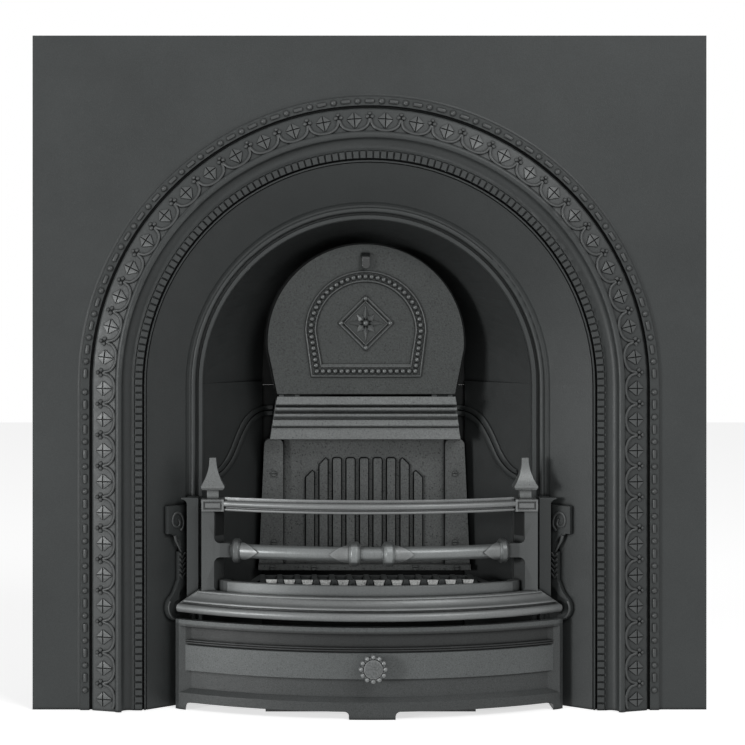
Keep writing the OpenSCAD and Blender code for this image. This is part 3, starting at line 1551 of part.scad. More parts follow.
// A strap handle riveted to the front of the pan
module pan_handle() {
    half_w = 32;
    reach = 18;
    strap_t = 2.5;
    strap_h = 12;
    color(steel) at_face() translate([0, pan_front_y, pan_rim_z / 2]) {
        box([-half_w, -reach, -strap_h / 2], [half_w, -reach + strap_t, strap_h / 2]);
        both_sides() {
            box([half_w - strap_t, -reach, -strap_h / 2], [half_w, 0, strap_h / 2]);
            box([half_w - strap_t, -strap_t, -strap_h / 2], [half_w + 14, 0, strap_h / 2]);
            translate([half_w + 7, -strap_t - 1.2, 0]) rotate([-90, 0, 0]) cylinder(r=3, h=1.5);
        }
    }
}

// ---------- fasteners ----------

module chamber_bolts() {
    color(steel) at_face() at_chamber_bolts() hex_bolt(flange_y, seat_y - chamber_bolt_depth);
}

module bracket_screws() {
    color(steel) at_face() at_bracket_screws() hex_bolt(flange_y, bracket_screw_tip_y);
}

module basket_screws() {
    color(steel) at_face() at_basket_screws() hex_bolt(tongue_y + tongue_t, post_back_y - basket_screw_depth);
}

module shelf_screws() {
    color(steel) at_face() at_shelf_screws() hex_bolt(seat_y, shelf_screw_tip_y);
}

module rear_bolts() {
    color(steel) at_face() {
        at_rear_bolts() hex_bolt(rear_y, chamber_depth);
        at_collar_bolts() hex_bolt(rear_y, chamber_depth);
        at_lining_bolts() hex_bolt(rear_y, back_y - lining_bolt_depth);
    }
}

face_plate();
cheek_left();
cheek_right();
crown();
back_plate();
damper_collar();
damper_plate();
damper_hook();
damper_pins();
throat_moulding();
fire_back();
side_brick_left();
side_brick_right();
back_ledge();
brick_screws();
basket_front();
top_rail();
finial_left();
finial_right();
finial_studs();
hearth_shelf();
scroll_bracket_left();
scroll_bracket_right();
bracket_screws();
basket_screws();
shelf_screws();
bottom_grate();
ash_cover();
cover_knob();
knob_screw();
ash_pan();
pan_handle();
chamber_bolts();
rear_bolts();
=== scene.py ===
"""Looks of the arched cast iron fireplace.

The CAD nodes carry the plain castings. This script adds the cast ornament on top of them, gives
every piece a procedural material, and sets the floor, lights and camera.
Shapes are drawn in millimetres: X from the middle of the arch, Y from the plate's face
(negative towards the room) and Z from the hearth.
"""
import math

import bmesh
import bpy
import numpy as np
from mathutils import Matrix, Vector


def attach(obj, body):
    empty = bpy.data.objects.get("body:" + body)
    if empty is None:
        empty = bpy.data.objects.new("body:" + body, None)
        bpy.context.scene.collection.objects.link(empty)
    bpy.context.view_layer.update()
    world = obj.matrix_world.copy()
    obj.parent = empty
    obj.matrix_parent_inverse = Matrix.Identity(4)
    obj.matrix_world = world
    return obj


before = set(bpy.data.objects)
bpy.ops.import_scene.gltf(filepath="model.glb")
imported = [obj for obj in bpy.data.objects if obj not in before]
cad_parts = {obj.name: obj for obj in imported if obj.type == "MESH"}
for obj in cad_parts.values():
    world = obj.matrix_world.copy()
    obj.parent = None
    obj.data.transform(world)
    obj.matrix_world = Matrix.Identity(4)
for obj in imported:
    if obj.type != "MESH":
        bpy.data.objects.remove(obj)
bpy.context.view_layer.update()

# Places that match the CAD part, in mm
FACE_Y = -41.75
SPRING_Z = 464.0
HINGE = (0.0, 101.0, 445.5)
LEAN = math.radians(5.4)
PLATE_FRONT = -11.0          # front of the damper plate, in front of its hinge
KNOB = (0.0, -95.5, 74.0)    # middle of the knob's rim, in front


# ---------------------------------------------------------------- mesh building

def unit(v):
    v = np.asarray(v, float)
    return v / np.linalg.norm(v)


class Relief:
    """Collects closed shapes and turns them into one piece."""

    def __init__(self):
        self.verts, self.faces, self.count = [], [], 0

    def add(self, verts, faces):
        verts = np.asarray(verts, float)
        self.verts.append(verts)
        self.faces.extend([tuple(i + self.count for i in f) for f in faces])
        self.count += len(verts)

    def rings(self, rings, closed=False):
        """Skins a row of rings with equal numbers of points, and caps the ends."""
        n = len(rings[0])
        faces = []
        rows = len(rings)
        for a in range(rows if closed else rows - 1):
            b = (a + 1) % rows
            for i in range(n):
                j = (i + 1) % n
                faces.append((a * n + i, a * n + j, b * n + j, b * n + i))
        if not closed:
            faces.append(tuple(range(n - 1, -1, -1)))
            faces.append(tuple((rows - 1) * n + i for i in range(n)))
        self.add(np.concatenate(rings), faces)

    def dome(self, c, u, v, n, ru, rv, h, sides=14, steps=5, sink=0.6):
        """A rounded boss on a surface at c, with radii ru and rv along u and v and height h along n."""
        rings = []
        for k in range(steps + 1):
            a = math.pi / 2 * k / steps
            s, up = math.cos(a), math.sin(a)
            if k == steps:
                s = 0.08
            rings.append([c + u * ru * s * math.cos(t) + v * rv * s * math.sin(t) + n * h * up
                          for t in np.linspace(0, 2 * math.pi, sides, endpoint=False)])
        rings.insert(0, [p - n * sink for p in rings[0]])
        self.rings([np.array(r) for r in rings])

    def rib(self, path, normals, width, height, sink=0.6, power=1.0, closed=False, taper=None):
        """A half-round rib along a path that lies on a surface."""
        path = np.asarray(path, float)
        count = len(path)
        normals = np.asarray(normals, float)
        if normals.ndim == 1:
            normals = np.repeat(normals[None], count, 0)
        rings = []
        for i in range(count):
            a = path[(i - 1) % count] if closed or i else path[0]
            b = path[(i + 1) % count] if closed or i < count - 1 else path[-1]
            t, n = unit(b - a), unit(normals[i])
            w = np.cross(t, n)
            w, n = unit(w), unit(np.cross(w, t))
            k = 1.0 if taper is None else taper[i]
            ring = [path[i] - w * width * k / 2 - n * sink]
            for s in np.linspace(math.pi, 0, 7):
                up = math.sin(s) ** power
                ring.append(path[i] + w * width * k / 2 * math.cos(s) + n * height * k * up)
            ring.append(path[i] + w * width * k / 2 - n * sink)
            rings.append(np.array(ring))
        self.rings(rings, closed)

    def slab(self, outline, c, u, v, n, h, bevel=0.5, sink=0.6):
        """A flat-topped boss with a bevelled edge; outline is a list of (u, v)."""
        o = np.asarray(outline, float)
        mid = o.mean(0)
        span = np.abs(o - mid).max()
        k = 1 - bevel / max(span, 1e-6)

        def place(q, z):
            return np.array([c + u * a + v * b + n * z for a, b in q])

        self.rings([place(o, -sink), place(o, h - bevel), place(mid + (o - mid) * k, h)])

    def hill(self, outline, tip, heights, c, u, v, n, sink=0.6):
        """A faceted boss: the outline rises to its corner heights and to a tip (u, v, height)."""
        o = np.asarray(outline, float)
        m = len(o)
        low = [c + u * a + v * b - n * sink for a, b in o]
        top = [c + u * a + v * b + n * h for (a, b), h in zip(o, heights)]
        peak = c + u * tip[0] + v * tip[1] + n * tip[2]
        faces = [tuple(range(m - 1, -1, -1))]
        for i in range(m):
            j = (i + 1) % m
            faces.append((i, j, m + j, m + i))
            faces.append((m + i, m + j, 2 * m))
        self.add(np.array(low + top + [peak]), faces)

    def piece(self, name, body, material, slot, sharp=38):
        mesh = bpy.data.meshes.new(name)
        verts = np.concatenate(self.verts)
        verts = (verts + np.array([0.0, FACE_Y, 0.0])) / 1000.0
        mesh.from_pydata(verts.tolist(), [], self.faces)
        mesh.validate()
        fix_normals(mesh)
        mesh.shade_smooth()
        mesh.set_sharp_from_angle(angle=math.radians(sharp))
        mesh.materials.append(material)
        obj = bpy.data.objects.new(name, mesh)
        bpy.context.collection.objects.link(obj)
        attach(obj, body)
        return obj


def fix_normals(mesh):
    bm = bmesh.new()
    bm.from_mesh(mesh)
    bmesh.ops.recalc_face_normals(bm, faces=bm.faces)
    bm.to_mesh(mesh)
    bm.free()


# ---------------------------------------------------------------- materials

class Graph:
    """The nodes of one material, with short calls for the kinds used here."""

    def __init__(self, name):
        self.material = bpy.data.materials.new(name)
        self.material.use_nodes = True
        self.nodes = self.material.node_tree.nodes
        self.links = self.material.node_tree.links
        self.place = self.nodes.new("ShaderNodeTexCoord").outputs["Object"]

    def noise(self, scale, detail):
        node = self.nodes.new("ShaderNodeTexNoise")
        node.inputs["Scale"].default_value = scale
        node.inputs["Detail"].default_value = detail
        node.inputs["Roughness"].default_value = 0.6
        self.links.new(self.place, node.inputs["Vector"])
        return node.outputs["Fac"]

    def ramp(self, value, low, high, out_low, out_high):
        node = self.nodes.new("ShaderNodeMapRange")
        node.inputs["From Min"].default_value = low
        node.inputs["From Max"].default_value = high
        node.inputs["To Min"].default_value = out_low
        node.inputs["To Max"].default_value = out_high
        self.links.new(value, node.inputs["Value"])
        return node.outputs["Result"]

    def maths(self, op, a, b=0.0):
        node = self.nodes.new("ShaderNodeMath")
        node.operation = op
        for socket, value in zip(node.inputs, (a, b)):
            if isinstance(value, (int, float)):
                socket.default_value = value
            else:
                self.links.new(value, socket)
        return node.outputs["Value"]

    def times(self, a, b):
        return self.maths("MULTIPLY", a, b)


CREVICE_SHADE_REACH = 0.006      # painted shade: crevices narrower than about this are painted darker, in metres
EDGE_RADIUS = 0.0007    # how far cast edges look rounded
GRAIN_DEPTH = 0.0008    # height of the sand-cast grain
FADE = 0.001            # over which a brighter band begins and ends


def band_gain(graph, shade, bands, front):
    """Scales the colour in the bands, brighter or darker, and brightens what stands forward; this paints
    highlight and shade on the middle bar and the ash cover.
    """
    split = graph.nodes.new("ShaderNodeSeparateXYZ")
    graph.links.new(graph.place, split.inputs["Vector"])
    height = split.outputs["Z"]
    width = graph.maths("ABSOLUTE", split.outputs["X"])
    for low, high, reach, gain in bands:
        inside = graph.times(graph.ramp(height, low, low + FADE, 0.0, 1.0),
                             graph.ramp(height, high, high + FADE, 1.0, 0.0))
        inside = graph.times(inside, graph.ramp(width, reach, reach + FADE, 1.0, 0.0))
        shade = graph.times(shade, graph.ramp(inside, 0.0, 1.0, 1.0, gain))
    if front:
        far, near, gain = front
        shade = graph.times(shade, graph.ramp(split.outputs["Y"], far, near, 1.0, gain))
    return shade


def grain_normal(graph, size, grain):
    """Rounded edges under the sand-cast grain."""
    bevel = graph.nodes.new("ShaderNodeBevel")
    bevel.samples = 4
    bevel.inputs["Radius"].default_value = EDGE_RADIUS
    bump = graph.nodes.new("ShaderNodeBump")
    bump.inputs["Strength"].default_value = grain
    bump.inputs["Distance"].default_value = GRAIN_DEPTH
    coarse = graph.times(graph.noise(size * 0.22, 3.0), 0.8)
    graph.links.new(graph.maths("ADD", graph.noise(size, 3.0), coarse), bump.inputs["Height"])
    graph.links.new(bevel.outputs["Normal"], bump.inputs["Normal"])
    return bump.outputs["Normal"]


def iron(name, colour, rough, grain, speck=0.3, size=700.0, edge_wear_and_highlight=0.0, metal=0.15, spec=0.3,
         bands=(), front=None, pits=0.0, crevice_shade=0.9):
    """Cast iron: sand-cast grain, uneven black lead and softened edges, with painted shade that darkens
    crevices by crevice_shade.
    Each band (low, high, reach, gain) in height is as much brighter or darker, up to reach from the
    middle;
    front (from, to, gain) brightens what stands forward; pits darkens sparse spots;
    edge_wear_and_highlight brightens sharp edges as rubbed iron and painted highlight."""
    graph = Graph(name)
    bsdf = graph.nodes["Principled BSDF"]
    bsdf.inputs["Metallic"].default_value = metal
    cloud = graph.ramp(graph.noise(7.0, 4.0), 0.3, 0.7, 0.9, 1.1)
    fine = graph.ramp(graph.noise(size, 3.0), 0.3, 0.7, 1 - speck * 0.5, 1 + speck * 0.5)
    shade = graph.times(cloud, fine)
    if pits:
        spots = graph.noise(size * 0.8, 1.0)
        shade = graph.times(shade, graph.ramp(spots, 0.30, 0.40, 1 - pits, 1.0))
    # Painted shade: ambient occlusion darkens the colour and the specular reflection in crevices
    shade_probe = graph.nodes.new("ShaderNodeAmbientOcclusion")
    shade_probe.samples = 6
    shade_probe.inputs["Distance"].default_value = CREVICE_SHADE_REACH
    unshaded_share = graph.ramp(shade_probe.outputs["AO"], 0.38, 0.90, 1 - crevice_shade, 1.0)
    shade = graph.times(shade, unshaded_share)
    graph.links.new(graph.times(unshaded_share, spec), bsdf.inputs["Specular IOR Level"])
    # Rubbed edges and painted highlight: sharp edges, found by pointiness, are painted brighter
    if edge_wear_and_highlight:
        edges = graph.nodes.new("ShaderNodeNewGeometry").outputs["Pointiness"]
        worn_and_lit_edges = graph.ramp(edges, 0.5, 0.56, 0.0, edge_wear_and_highlight)
        shade = graph.times(shade, graph.maths("ADD", worn_and_lit_edges, 1.0))
    scale = graph.nodes.new("ShaderNodeVectorMath")
    scale.operation = "SCALE"
    scale.inputs[0].default_value = colour
    graph.links.new(band_gain(graph, shade, bands, front), scale.inputs["Scale"])
    graph.links.new(scale.outputs["Vector"], bsdf.inputs["Base Color"])
    sheen = graph.ramp(graph.noise(60.0, 5.0), 0.3, 0.7, rough - 0.05, rough + 0.06)
    graph.links.new(sheen, bsdf.inputs["Roughness"])
    graph.links.new(grain_normal(graph, size, grain), bsdf.inputs["Normal"])
    return graph.material


BLACK = iron("black_iron", (0.046, 0.050, 0.050), 0.42, 0.20)
# Painted light: lit copies of the black iron, brighter to stand in for the light that the raised ornament
# and the diamond facets catch
LIT_RAISED = iron("raised_lit_iron", (0.069, 0.073, 0.073), 0.38, 0.20)
LIT_FACETS = iron("facet_lit_iron", (0.086, 0.091, 0.091), 0.36, 0.20)
CHAMBER = iron("chamber_iron", (0.038, 0.041, 0.041), 0.46, 0.30)
# The darkest iron: on the facet panels it is painted shade; on the back plate and damper collar it is
# their plain dark tone
DARKEST = iron("darkest_iron", (0.014, 0.015, 0.015), 0.60, 0.30, spec=0.15)
GLOSSY = iron("glossy_iron", (0.024, 0.026, 0.026), 0.20, 0.20, metal=0.4, spec=1.0)
LINING = iron("lining_iron", (0.094, 0.099, 0.098), 0.46, 0.60, speck=0.5, size=420.0, pits=0.6)
DAMPER = iron("damper_iron", (0.046, 0.050, 0.049), 0.44, 0.60, speck=0.5, size=420.0, pits=0.4)
# Painted light: lit copies of the damper's iron, brighter to stand in for the highlights on its beads,
# flower and rims
LIT_BEADS = iron("bead_lit_iron", (0.110, 0.116, 0.115), 0.30, 0.20, speck=0.4, metal=0.35)
LIT_RIMS = iron("rim_lit_iron", (0.108, 0.114, 0.113), 0.42, 0.40, speck=0.4, size=420.0, pits=0.3)
# Painted light: a lit copy of the iron, much brighter to stand in for the light on the throat moulding's
# bands, which its overhanging steps shade
LIT_THROAT = iron("throat_lit_iron", (0.172, 0.181, 0.180), 0.40, 0.40, speck=0.4, size=420.0, pits=0.3)
FINIAL = iron("finial_iron", (0.165, 0.173, 0.172), 0.30, 0.20, speck=0.4, metal=0.35)
# Painted highlight: the band 217 to 239.5 mm high, within 187 mm of the middle, brightens the middle bar;
# front brightens the lip that stands forward
POST = iron("post_iron", (0.070, 0.074, 0.074), 0.34, 0.18, edge_wear_and_highlight=0.25, metal=0.40,
            bands=((0.217, 0.2395, 0.187, 1.9),), front=(-0.052, -0.066, 1.5))
BURNISHED = iron("burnished_iron", (0.192, 0.200, 0.200), 0.39, 0.18, edge_wear_and_highlight=0.25, metal=0.40)
RAIL = iron("rail_iron", (0.128, 0.133, 0.133), 0.39, 0.18, edge_wear_and_highlight=0.25, metal=0.40,
            bands=((0.27, 0.32, 0.2115, 1.5),))
BRIGHT = iron("bright_iron", (0.130, 0.136, 0.136), 0.40, 0.40, speck=0.7, size=420.0, metal=0.4)
# Painted light on the ash cover: the top rim band is a painted highlight and the darker band is painted
# shade on the sunk upper panel; the fascia band is brighter
COVER = iron("cover_iron", (0.058, 0.062, 0.062), 0.42, 0.35, speck=0.5, pits=0.3,
             bands=((0.0545, 0.0925, 0.263, 1.85), (0.0935, 0.121, 0.263, 0.5),
                    (0.1225, 0.130, 0.3, 1.7)))
# Painted highlight: the webs' near-white colour stands in for light catching their faces; they get no
# painted crevice shade
LIT_WEBS = iron("web_lit_iron", (0.50, 0.51, 0.50), 0.60, 0.80, speck=0.8, size=420.0, metal=0.0, pits=0.3,
            crevice_shade=0.0)
GRATE = iron("grate_iron", (0.050, 0.054, 0.054), 0.45, 0.40, speck=0.5)
STEEL = iron("fastener_steel", (0.16, 0.165, 0.165), 0.40, 0.10, metal=0.6)
SHEET = iron("sheet_steel", (0.070, 0.072, 0.072), 0.45, 0.15)

LOOK = {
    "face_plate": BLACK, "cheek_left": CHAMBER, "cheek_right": CHAMBER, "crown": CHAMBER,
    "back_plate": DARKEST, "damper_collar": DARKEST, "damper_plate": DAMPER,
    "damper_hook": GLOSSY, "damper_pins": STEEL, "throat_moulding": LIT_THROAT,
    "fire_back": LINING, "side_brick_left": LINING, "side_brick_right": LINING,
    "back_ledge": LINING, "brick_screws": LINING, "basket_front": POST,
    "top_rail": RAIL, "finial_left": FINIAL, "finial_right": FINIAL,
    "finial_studs": STEEL, "hearth_shelf": BURNISHED, "scroll_bracket_left": BLACK,
    "scroll_bracket_right": BLACK, "bracket_screws": STEEL, "basket_screws": STEEL,
    "shelf_screws": STEEL, "bottom_grate": GRATE, "ash_cover": COVER,
    "cover_knob": BURNISHED, "knob_screw": STEEL, "ash_pan": SHEET, "pan_handle": SHEET,
    "chamber_bolts": STEEL, "rear_bolts": STEEL,
}
for name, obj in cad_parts.items():
    obj.data.materials.clear()
    obj.data.materials.append(LOOK[name])


# ---------------------------------------------------------------- ornament on the moulding

FRONT = np.array([0.0, -1.0, 0.0])


def on_arch(r, y, phi=None, z=None, side=1, slope=0.0):
    """Place on the moulding at distance r: phi from the top in radians, or height z on a jamb.
    Returns the point, the direction along the moulding, the one away from the opening and the
    surface normal, which leans outwards by slope."""
    if phi is not None:
        out = np.array([math.sin(phi), 0.0, math.cos(phi)])
        along = np.array([math.cos(phi), 0.0, -math.sin(phi)])
        c = np.array([r * out[0], y, SPRING_Z + r * out[2]])
    else:
        out = np.array([side, 0.0, 0.0])
        along = np.array([0.0, 0.0, -side])
        c = np.array([side * r, y, z])
    n = unit(FRONT * math.cos(slope) + out * math.sin(slope))
    away = unit(np.cross(np.cross(n, out), n))
    return c, along, away, n


def stations(first, step_deg, count, z_start, z_step, z_count):
    """Places along the moulding, from the top of the arch down both jambs."""
    out = []
    for k in range(count):
        phi = math.radians((first + k) * step_deg)
        for s in ((1,) if phi == 0 else (-1, 1)):
            out.append(dict(phi=s * phi))
    for k in range(z_count):
        for s in (-1, 1):
            out.append(dict(z=z_start - k * z_step, side=s))
    return out


def bead_and_reel():
    r, y = 406.8, -5.0
    step_deg, jamb_top, jamb_pitch = 4.865, 454.6, 35.48
    bead_r, bead_h = 4.4, 4.0
    reel_w, reel_h = 5.4, 3.0
    reel_steps = (-6.3, -6.0, -4, 0, 4, 6.0, 6.3)
    reel_taper = (0.6, 0.9, 1, 1, 1, 0.9, 0.6)
    relief = Relief()
    for place in stations(0.5, step_deg, 18, jamb_top, jamb_pitch, 13):
        c, u, v, n = on_arch(r, y, **place)
        relief.dome(c, u, v, n, bead_r, bead_r, bead_h)
    for place in stations(0, step_deg, 19, jamb_top - jamb_pitch / 2, jamb_pitch, 12):
        c, u, v, n = on_arch(r, y, **place)
        path = np.array([c + u * a for a in reel_steps])
        relief.rib(path, n, reel_w, reel_h, power=0.5, taper=reel_taper)
    relief.piece("bead_and_reel", "frame", LIT_RAISED, "black_iron")


# The two edges of the sloping lunette band: distance from the middle and Y
BAND_INNER = (363.5, -17.5)
BAND_OUTER = (394.5, -6.5)
BAND_RISE = (BAND_OUTER[1] - BAND_INNER[1]) / (BAND_OUTER[0] - BAND_INNER[0])
BAND_SLOPE = math.atan(BAND_RISE)

# Diamonds stand at even steps round the arch and down the jambs, trefoils half way between
DIAMOND_R = 380.5
LUNETTE_STEP = 6.708
LUNETTE_TOP = 460.3
LUNETTE_PITCH = 44.34
CROSSES = stations(0.5, LUNETTE_STEP, 13, LUNETTE_TOP, LUNETTE_PITCH, 11)
BETWEEN = stations(0, LUNETTE_STEP, 14, LUNETTE_TOP - LUNETTE_PITCH / 2, LUNETTE_PITCH, 10)


def band_y(r):
    return BAND_INNER[1] + (r - BAND_INNER[0]) * BAND_RISE


def lunette_diamonds():
    """Four facets round a cross of grooves, longer towards the opening."""
    relief = Relief()
    groove, half_w, outer_h, inner_h = 0.75, 10.5, 10.4, 14.1
    for place in CROSSES:
        c, u, v, n = on_arch(DIAMOND_R, band_y(DIAMOND_R), slope=BAND_SLOPE, **place)
        for su in (-1, 1):
            for sv, h in ((1, outer_h), (-1, inner_h)):
                outline = [(su * groove, sv * groove), (su * half_w, sv * groove),
                           (su * groove, sv * h)]
                relief.hill(outline, (su * 3.0, sv * 3.3, 2.0), [1.9, 1.3, 1.3], c, u, v, n)
    relief.piece("lunette_diamonds", "frame", LIT_FACETS, "black_iron", sharp=20)


def lunette_swags():
    """A swag hangs towards the opening from trefoil to trefoil, round each diamond, and ends
    above the floor."""
    relief = Relief()
    half, drop, arc_r, end_z = 21.6, 16.8, 379.0, 3.0
    for place in CROSSES:
        path, normals = [], []
        for a in np.linspace(-1, 1, 19):
            r = DIAMOND_R - drop * math.sqrt(max(0.0, 1 - abs(a) ** 2.2))
            if "phi" in place:
                spot = {"phi": place["phi"] + a * half / arc_r}
            else:
                spot = {"z": place["z"] - a * half, "side": place["side"]}
            y = max(band_y(r), BAND_INNER[1] - 0.1)
            c, u, v, n = on_arch(r, y, slope=BAND_SLOPE, **spot)
            if c[2] > end_z:
                path.append(c)
                normals.append(n)
        relief.rib(path, normals, 4.8, 2.6)
    relief.piece("lunette_swags", "frame", LIT_RAISED, "black_iron")


def lunette_trefoils():
    relief = Relief()
    for place in BETWEEN:
        for du, r, size in ((-3.5, 384.2, 3.3), (3.5, 384.2, 3.3), (0.0, 388.8, 3.0)):
            c, u, v, n = on_arch(r, band_y(r), slope=BAND_SLOPE, **place)
            relief.dome(c + u * du, u, v, n, size, size, 2.6, sides=12, steps=4)
    relief.piece("lunette_trefoils", "frame", LIT_RAISED, "black_iron")


def dentils():
    relief = Relief()
    r, y = 330.1, -7.0
    half_along, half_across, rise = 3.9, 5.15, 2.0
    block = [(-half_along, -half_across), (half_along, -half_across),
             (half_along, half_across), (-half_along, half_across)]
    for place in stations(0, 1.7143, 53, SPRING_Z - 5.0, 10.08, 46):
        c, u, v, n = on_arch(r, y, **place)
        relief.slab(block, c, u, v, n, rise)
    relief.piece("dentils", "frame", BLACK, "black_iron")


bead_and_reel()
lunette_diamonds()
lunette_swags()
lunette_trefoils()
dentils()


# ---------------------------------------------------------------- ornament in the fire chamber

# Edges of the two flat bands that sweep from the back over each cheek: distance from the
# middle and height; each band lies between two neighbouring lines
SWAN_LINES = [
    [(137, 428.2), (151, 427.3), (161, 425), (169.5, 420.8), (176.5, 415), (182.4, 408),
     (187.8, 398), (192.5, 388), (196.7, 377.5), (201, 366.5), (205.5, 357), (210.5, 348.7),
     (216, 342), (222, 337.5)],
    [(137, 419.8), (148, 419.3), (156.6, 417.9), (164.6, 413.8), (171.3, 408), (177.2, 400.5),
     (182.2, 391.3), (186.5, 382.5), (190.4, 372.9), (194.2, 363.3), (198.9, 352.9),
     (204.2, 344.7), (211, 336.8), (217.4, 332), (222.6, 329.5)],
    [(137, 411), (148, 410.2), (155.8, 408.6), (163.8, 404.1), (169.7, 397.9), (174.4, 389.9),
     (178.4, 381.5), (182.2, 371.4), (186.5, 360.9), (190.8, 351.4), (195.8, 342.7),
     (201.5, 335), (208.4, 327.9), (214.4, 323.2), (221, 320.3)]]


def smooth_line(points, per):
    """A smooth curve through the points."""
    p = np.array(points, float)
    ext = np.vstack([2 * p[0] - p[1], p, 2 * p[-1] - p[-2]])
    out = []
    for i in range(1, len(ext) - 2):
        a, b, c, d = ext[i - 1:i + 3]
        for t in np.linspace(0, 1, per, endpoint=False):
            out.append(0.5 * ((2 * b) + (c - a) * t + (2 * a - 5 * b + 4 * c - d) * t ** 2
                              + (3 * b - a - 3 * c + d) * t ** 3))
    out.append(p[-1])
    return np.array(out)


def even_steps(line, count):
    """Points at even distances along a smooth line."""
    pts = smooth_line([(x, 0.0, z) for x, z in line], 6)
    run = np.concatenate([[0], np.cumsum(np.linalg.norm(np.diff(pts, axis=0), axis=1))])
    at = np.linspace(0, run[-1], count)
    return np.stack([np.interp(at, run, pts[:, k]) for k in range(3)], 1)


CHEEK_EDGE = (239.5, 62)      # X and Y of the cheek's front edge
CHEEK_SPLAY = 0.8398          # how much nearer the middle the cheek gets per mm of depth
CHEEK_END_X = 153             # where the ornament passes from the cheek to the flat back
DEEPEST_Y = 171.0


def on_cheek(p, side):
    """Drops a point on the splayed cheek or the back, and gives the surface normal there."""
    x = abs(p[0])
    y = min(DEEPEST_Y, CHEEK_EDGE[1] + (CHEEK_EDGE[0] - x) / CHEEK_SPLAY)
    n = np.array([-side * 0.766, -0.643, 0.0]) if x > CHEEK_END_X else FRONT
    return np.array([side * x, y, p[2]]), n


def swan_ribs():
    """Flat bands with bevelled edges, a little narrower than the lines between which they lie."""
    relief = Relief()
    inset, rise, edge_rise, sink, bevel_share = 0.8, 2.4, 1.6, 0.6, 0.13
    lines = [even_steps(line, 44) for line in SWAN_LINES]
    for side in (-1, 1):
        for upper, lower in zip(lines, lines[1:]):
            rings = []
            for a, b in zip(upper, lower):
                across = unit(b - a)
                a, n = on_cheek(a + across * inset, side)
                b, _ = on_cheek(b - across * inset, side)
                in_a, in_b = a + (b - a) * bevel_share, b + (a - b) * bevel_share
                rings.append(np.array([a - n * sink, a + n * edge_rise, in_a + n * rise,
                                       in_b + n * rise, b + n * edge_rise, b - n * sink]))
            relief.rings(rings)
    relief.piece("swan_neck_ribs", "frame", CHAMBER, "chamber_iron")


swan_ribs()


# ---------------------------------------------------------------- ornament on the damper plate

UP = np.array([0.0, math.sin(LEAN), math.cos(LEAN)])
OUT = np.array([0.0, -math.cos(LEAN), math.sin(LEAN)])
RIGHT = np.array([1.0, 0.0, 0.0])


def on_damper(x, z, lift=0.0):
    """Place on the front of the damper plate, z above its hinge."""
    return np.array(HINGE) + RIGHT * x + UP * z + OUT * (-PLATE_FRONT + lift)


def horseshoe(r, centre_z, foot_half_w, foot_z, step):
    """Points along the border, from the left foot over the top to the right foot."""
    left = np.array([-foot_half_w, foot_z])
    arc_start = np.array([-r, centre_z])
    n = max(2, round(np.linalg.norm(arc_start - left) / step))
    pts = [left + (arc_start - left) * k / n for k in range(n)]
    m = max(4, round(math.pi * r / step))
    pts += [np.array([-r * math.cos(a), centre_z + r * math.sin(a)])
            for a in np.linspace(0, math.pi, m + 1)]
    pts += [np.array([-p[0], p[1]]) for p in reversed(pts[:n])]
    return pts


def border_line(inset, step):
    return horseshoe(90 - inset, 94, 81.3 - inset, 26 + inset, step)


def damper_border(rims, beads):
    """Two rims with beads between them, and the sill inside their foot."""
    rise = 1.5
    bead_r, bead_h = 4.2, 4.0
    for inset, w, h in ((1.6, 2.8, 1.8), (15.2, 2.6, 1.5)):
        half_foot = 81.3 - inset
        line = [on_damper(x, z, rise) for x, z in border_line(inset, 6)]
        foot = [on_damper(x, 26 + inset, rise) for x in np.linspace(half_foot, -half_foot, 20)[1:-1]]
        rims.rib(np.array(line + foot), OUT, w, h, closed=True)
    for x, z in border_line(8.7, 9.1):
        beads.dome(on_damper(x, z, rise), RIGHT, UP, OUT, bead_r, bead_r, bead_h)
    for x in np.linspace(-72.6, 72.6, 17)[1:-1]:
        beads.dome(on_damper(x, 34.7, rise), RIGHT, UP, OUT, bead_r, bead_r, bead_h)
    sill = [(-68, 0), (68, 0), (65.5, 5.4), (-65.5, 5.4)]
    rims.slab(sill, on_damper(0, 39.5), RIGHT, UP, OUT, 1.7, bevel=0.6)


def damper_diamond(rims, beads):
    """A double frame with a ball at each corner, round an eight-petalled flower."""
    cz = 106.0
    for half, w, h in ((39.6, 3.4, 2.6), (32.5, 2.2, 1.4)):
        corners = [(0, half), (half, 0), (0, -half), (-half, 0)]
        for (ax, az), (bx, bz) in zip(corners, corners[1:] + corners[:1]):
            line = [on_damper(ax + (bx - ax) * t, cz + az + (bz - az) * t)
                    for t in np.linspace(0, 1, 6)]
            rims.rib(np.array(line), OUT, w, h)
    for x, z in ((0, 36.5), (36.5, 0), (0, -36.5), (-36.5, 0)):
        beads.dome(on_damper(x, cz + z, 0.5), RIGHT, UP, OUT, 4.2, 4.2, 4.0)
    beads.dome(on_damper(0, cz, 0.5), RIGHT, UP, OUT, 5.0, 5.0, 4.6)
    for k in range(8):
        a = math.pi / 4 * k
        d = RIGHT * math.cos(a) + UP * math.sin(a)
        across = np.cross(d, OUT)
        length, width = (27.0, 8.0) if k % 2 == 0 else (19.0, 11.5)
        petal = [(4, 0), (length * 0.45, width / 2), (length, 0), (length * 0.45, -width / 2)]
        tip = (length * 0.42, 0, 4.2)
        beads.hill(petal, tip, [1.6, 0.8, 0.5, 0.8], on_damper(0, cz), d, across, OUT)


def damper_ornament():
    rims, beads = Relief(), Relief()
    damper_border(rims, beads)
    damper_diamond(rims, beads)
    rims.piece("damper_rims", "damper", LIT_RIMS, "black_iron")
    beads.piece("damper_beads", "damper", LIT_BEADS, "black_iron")


damper_ornament()


# ---------------------------------------------------------------- leaves on the middle bar

BAR_CENTRE_Y, BAR_PATH_R, BAR_Z, BAR_R = 401.15, 449.15, 228.3, 10.0


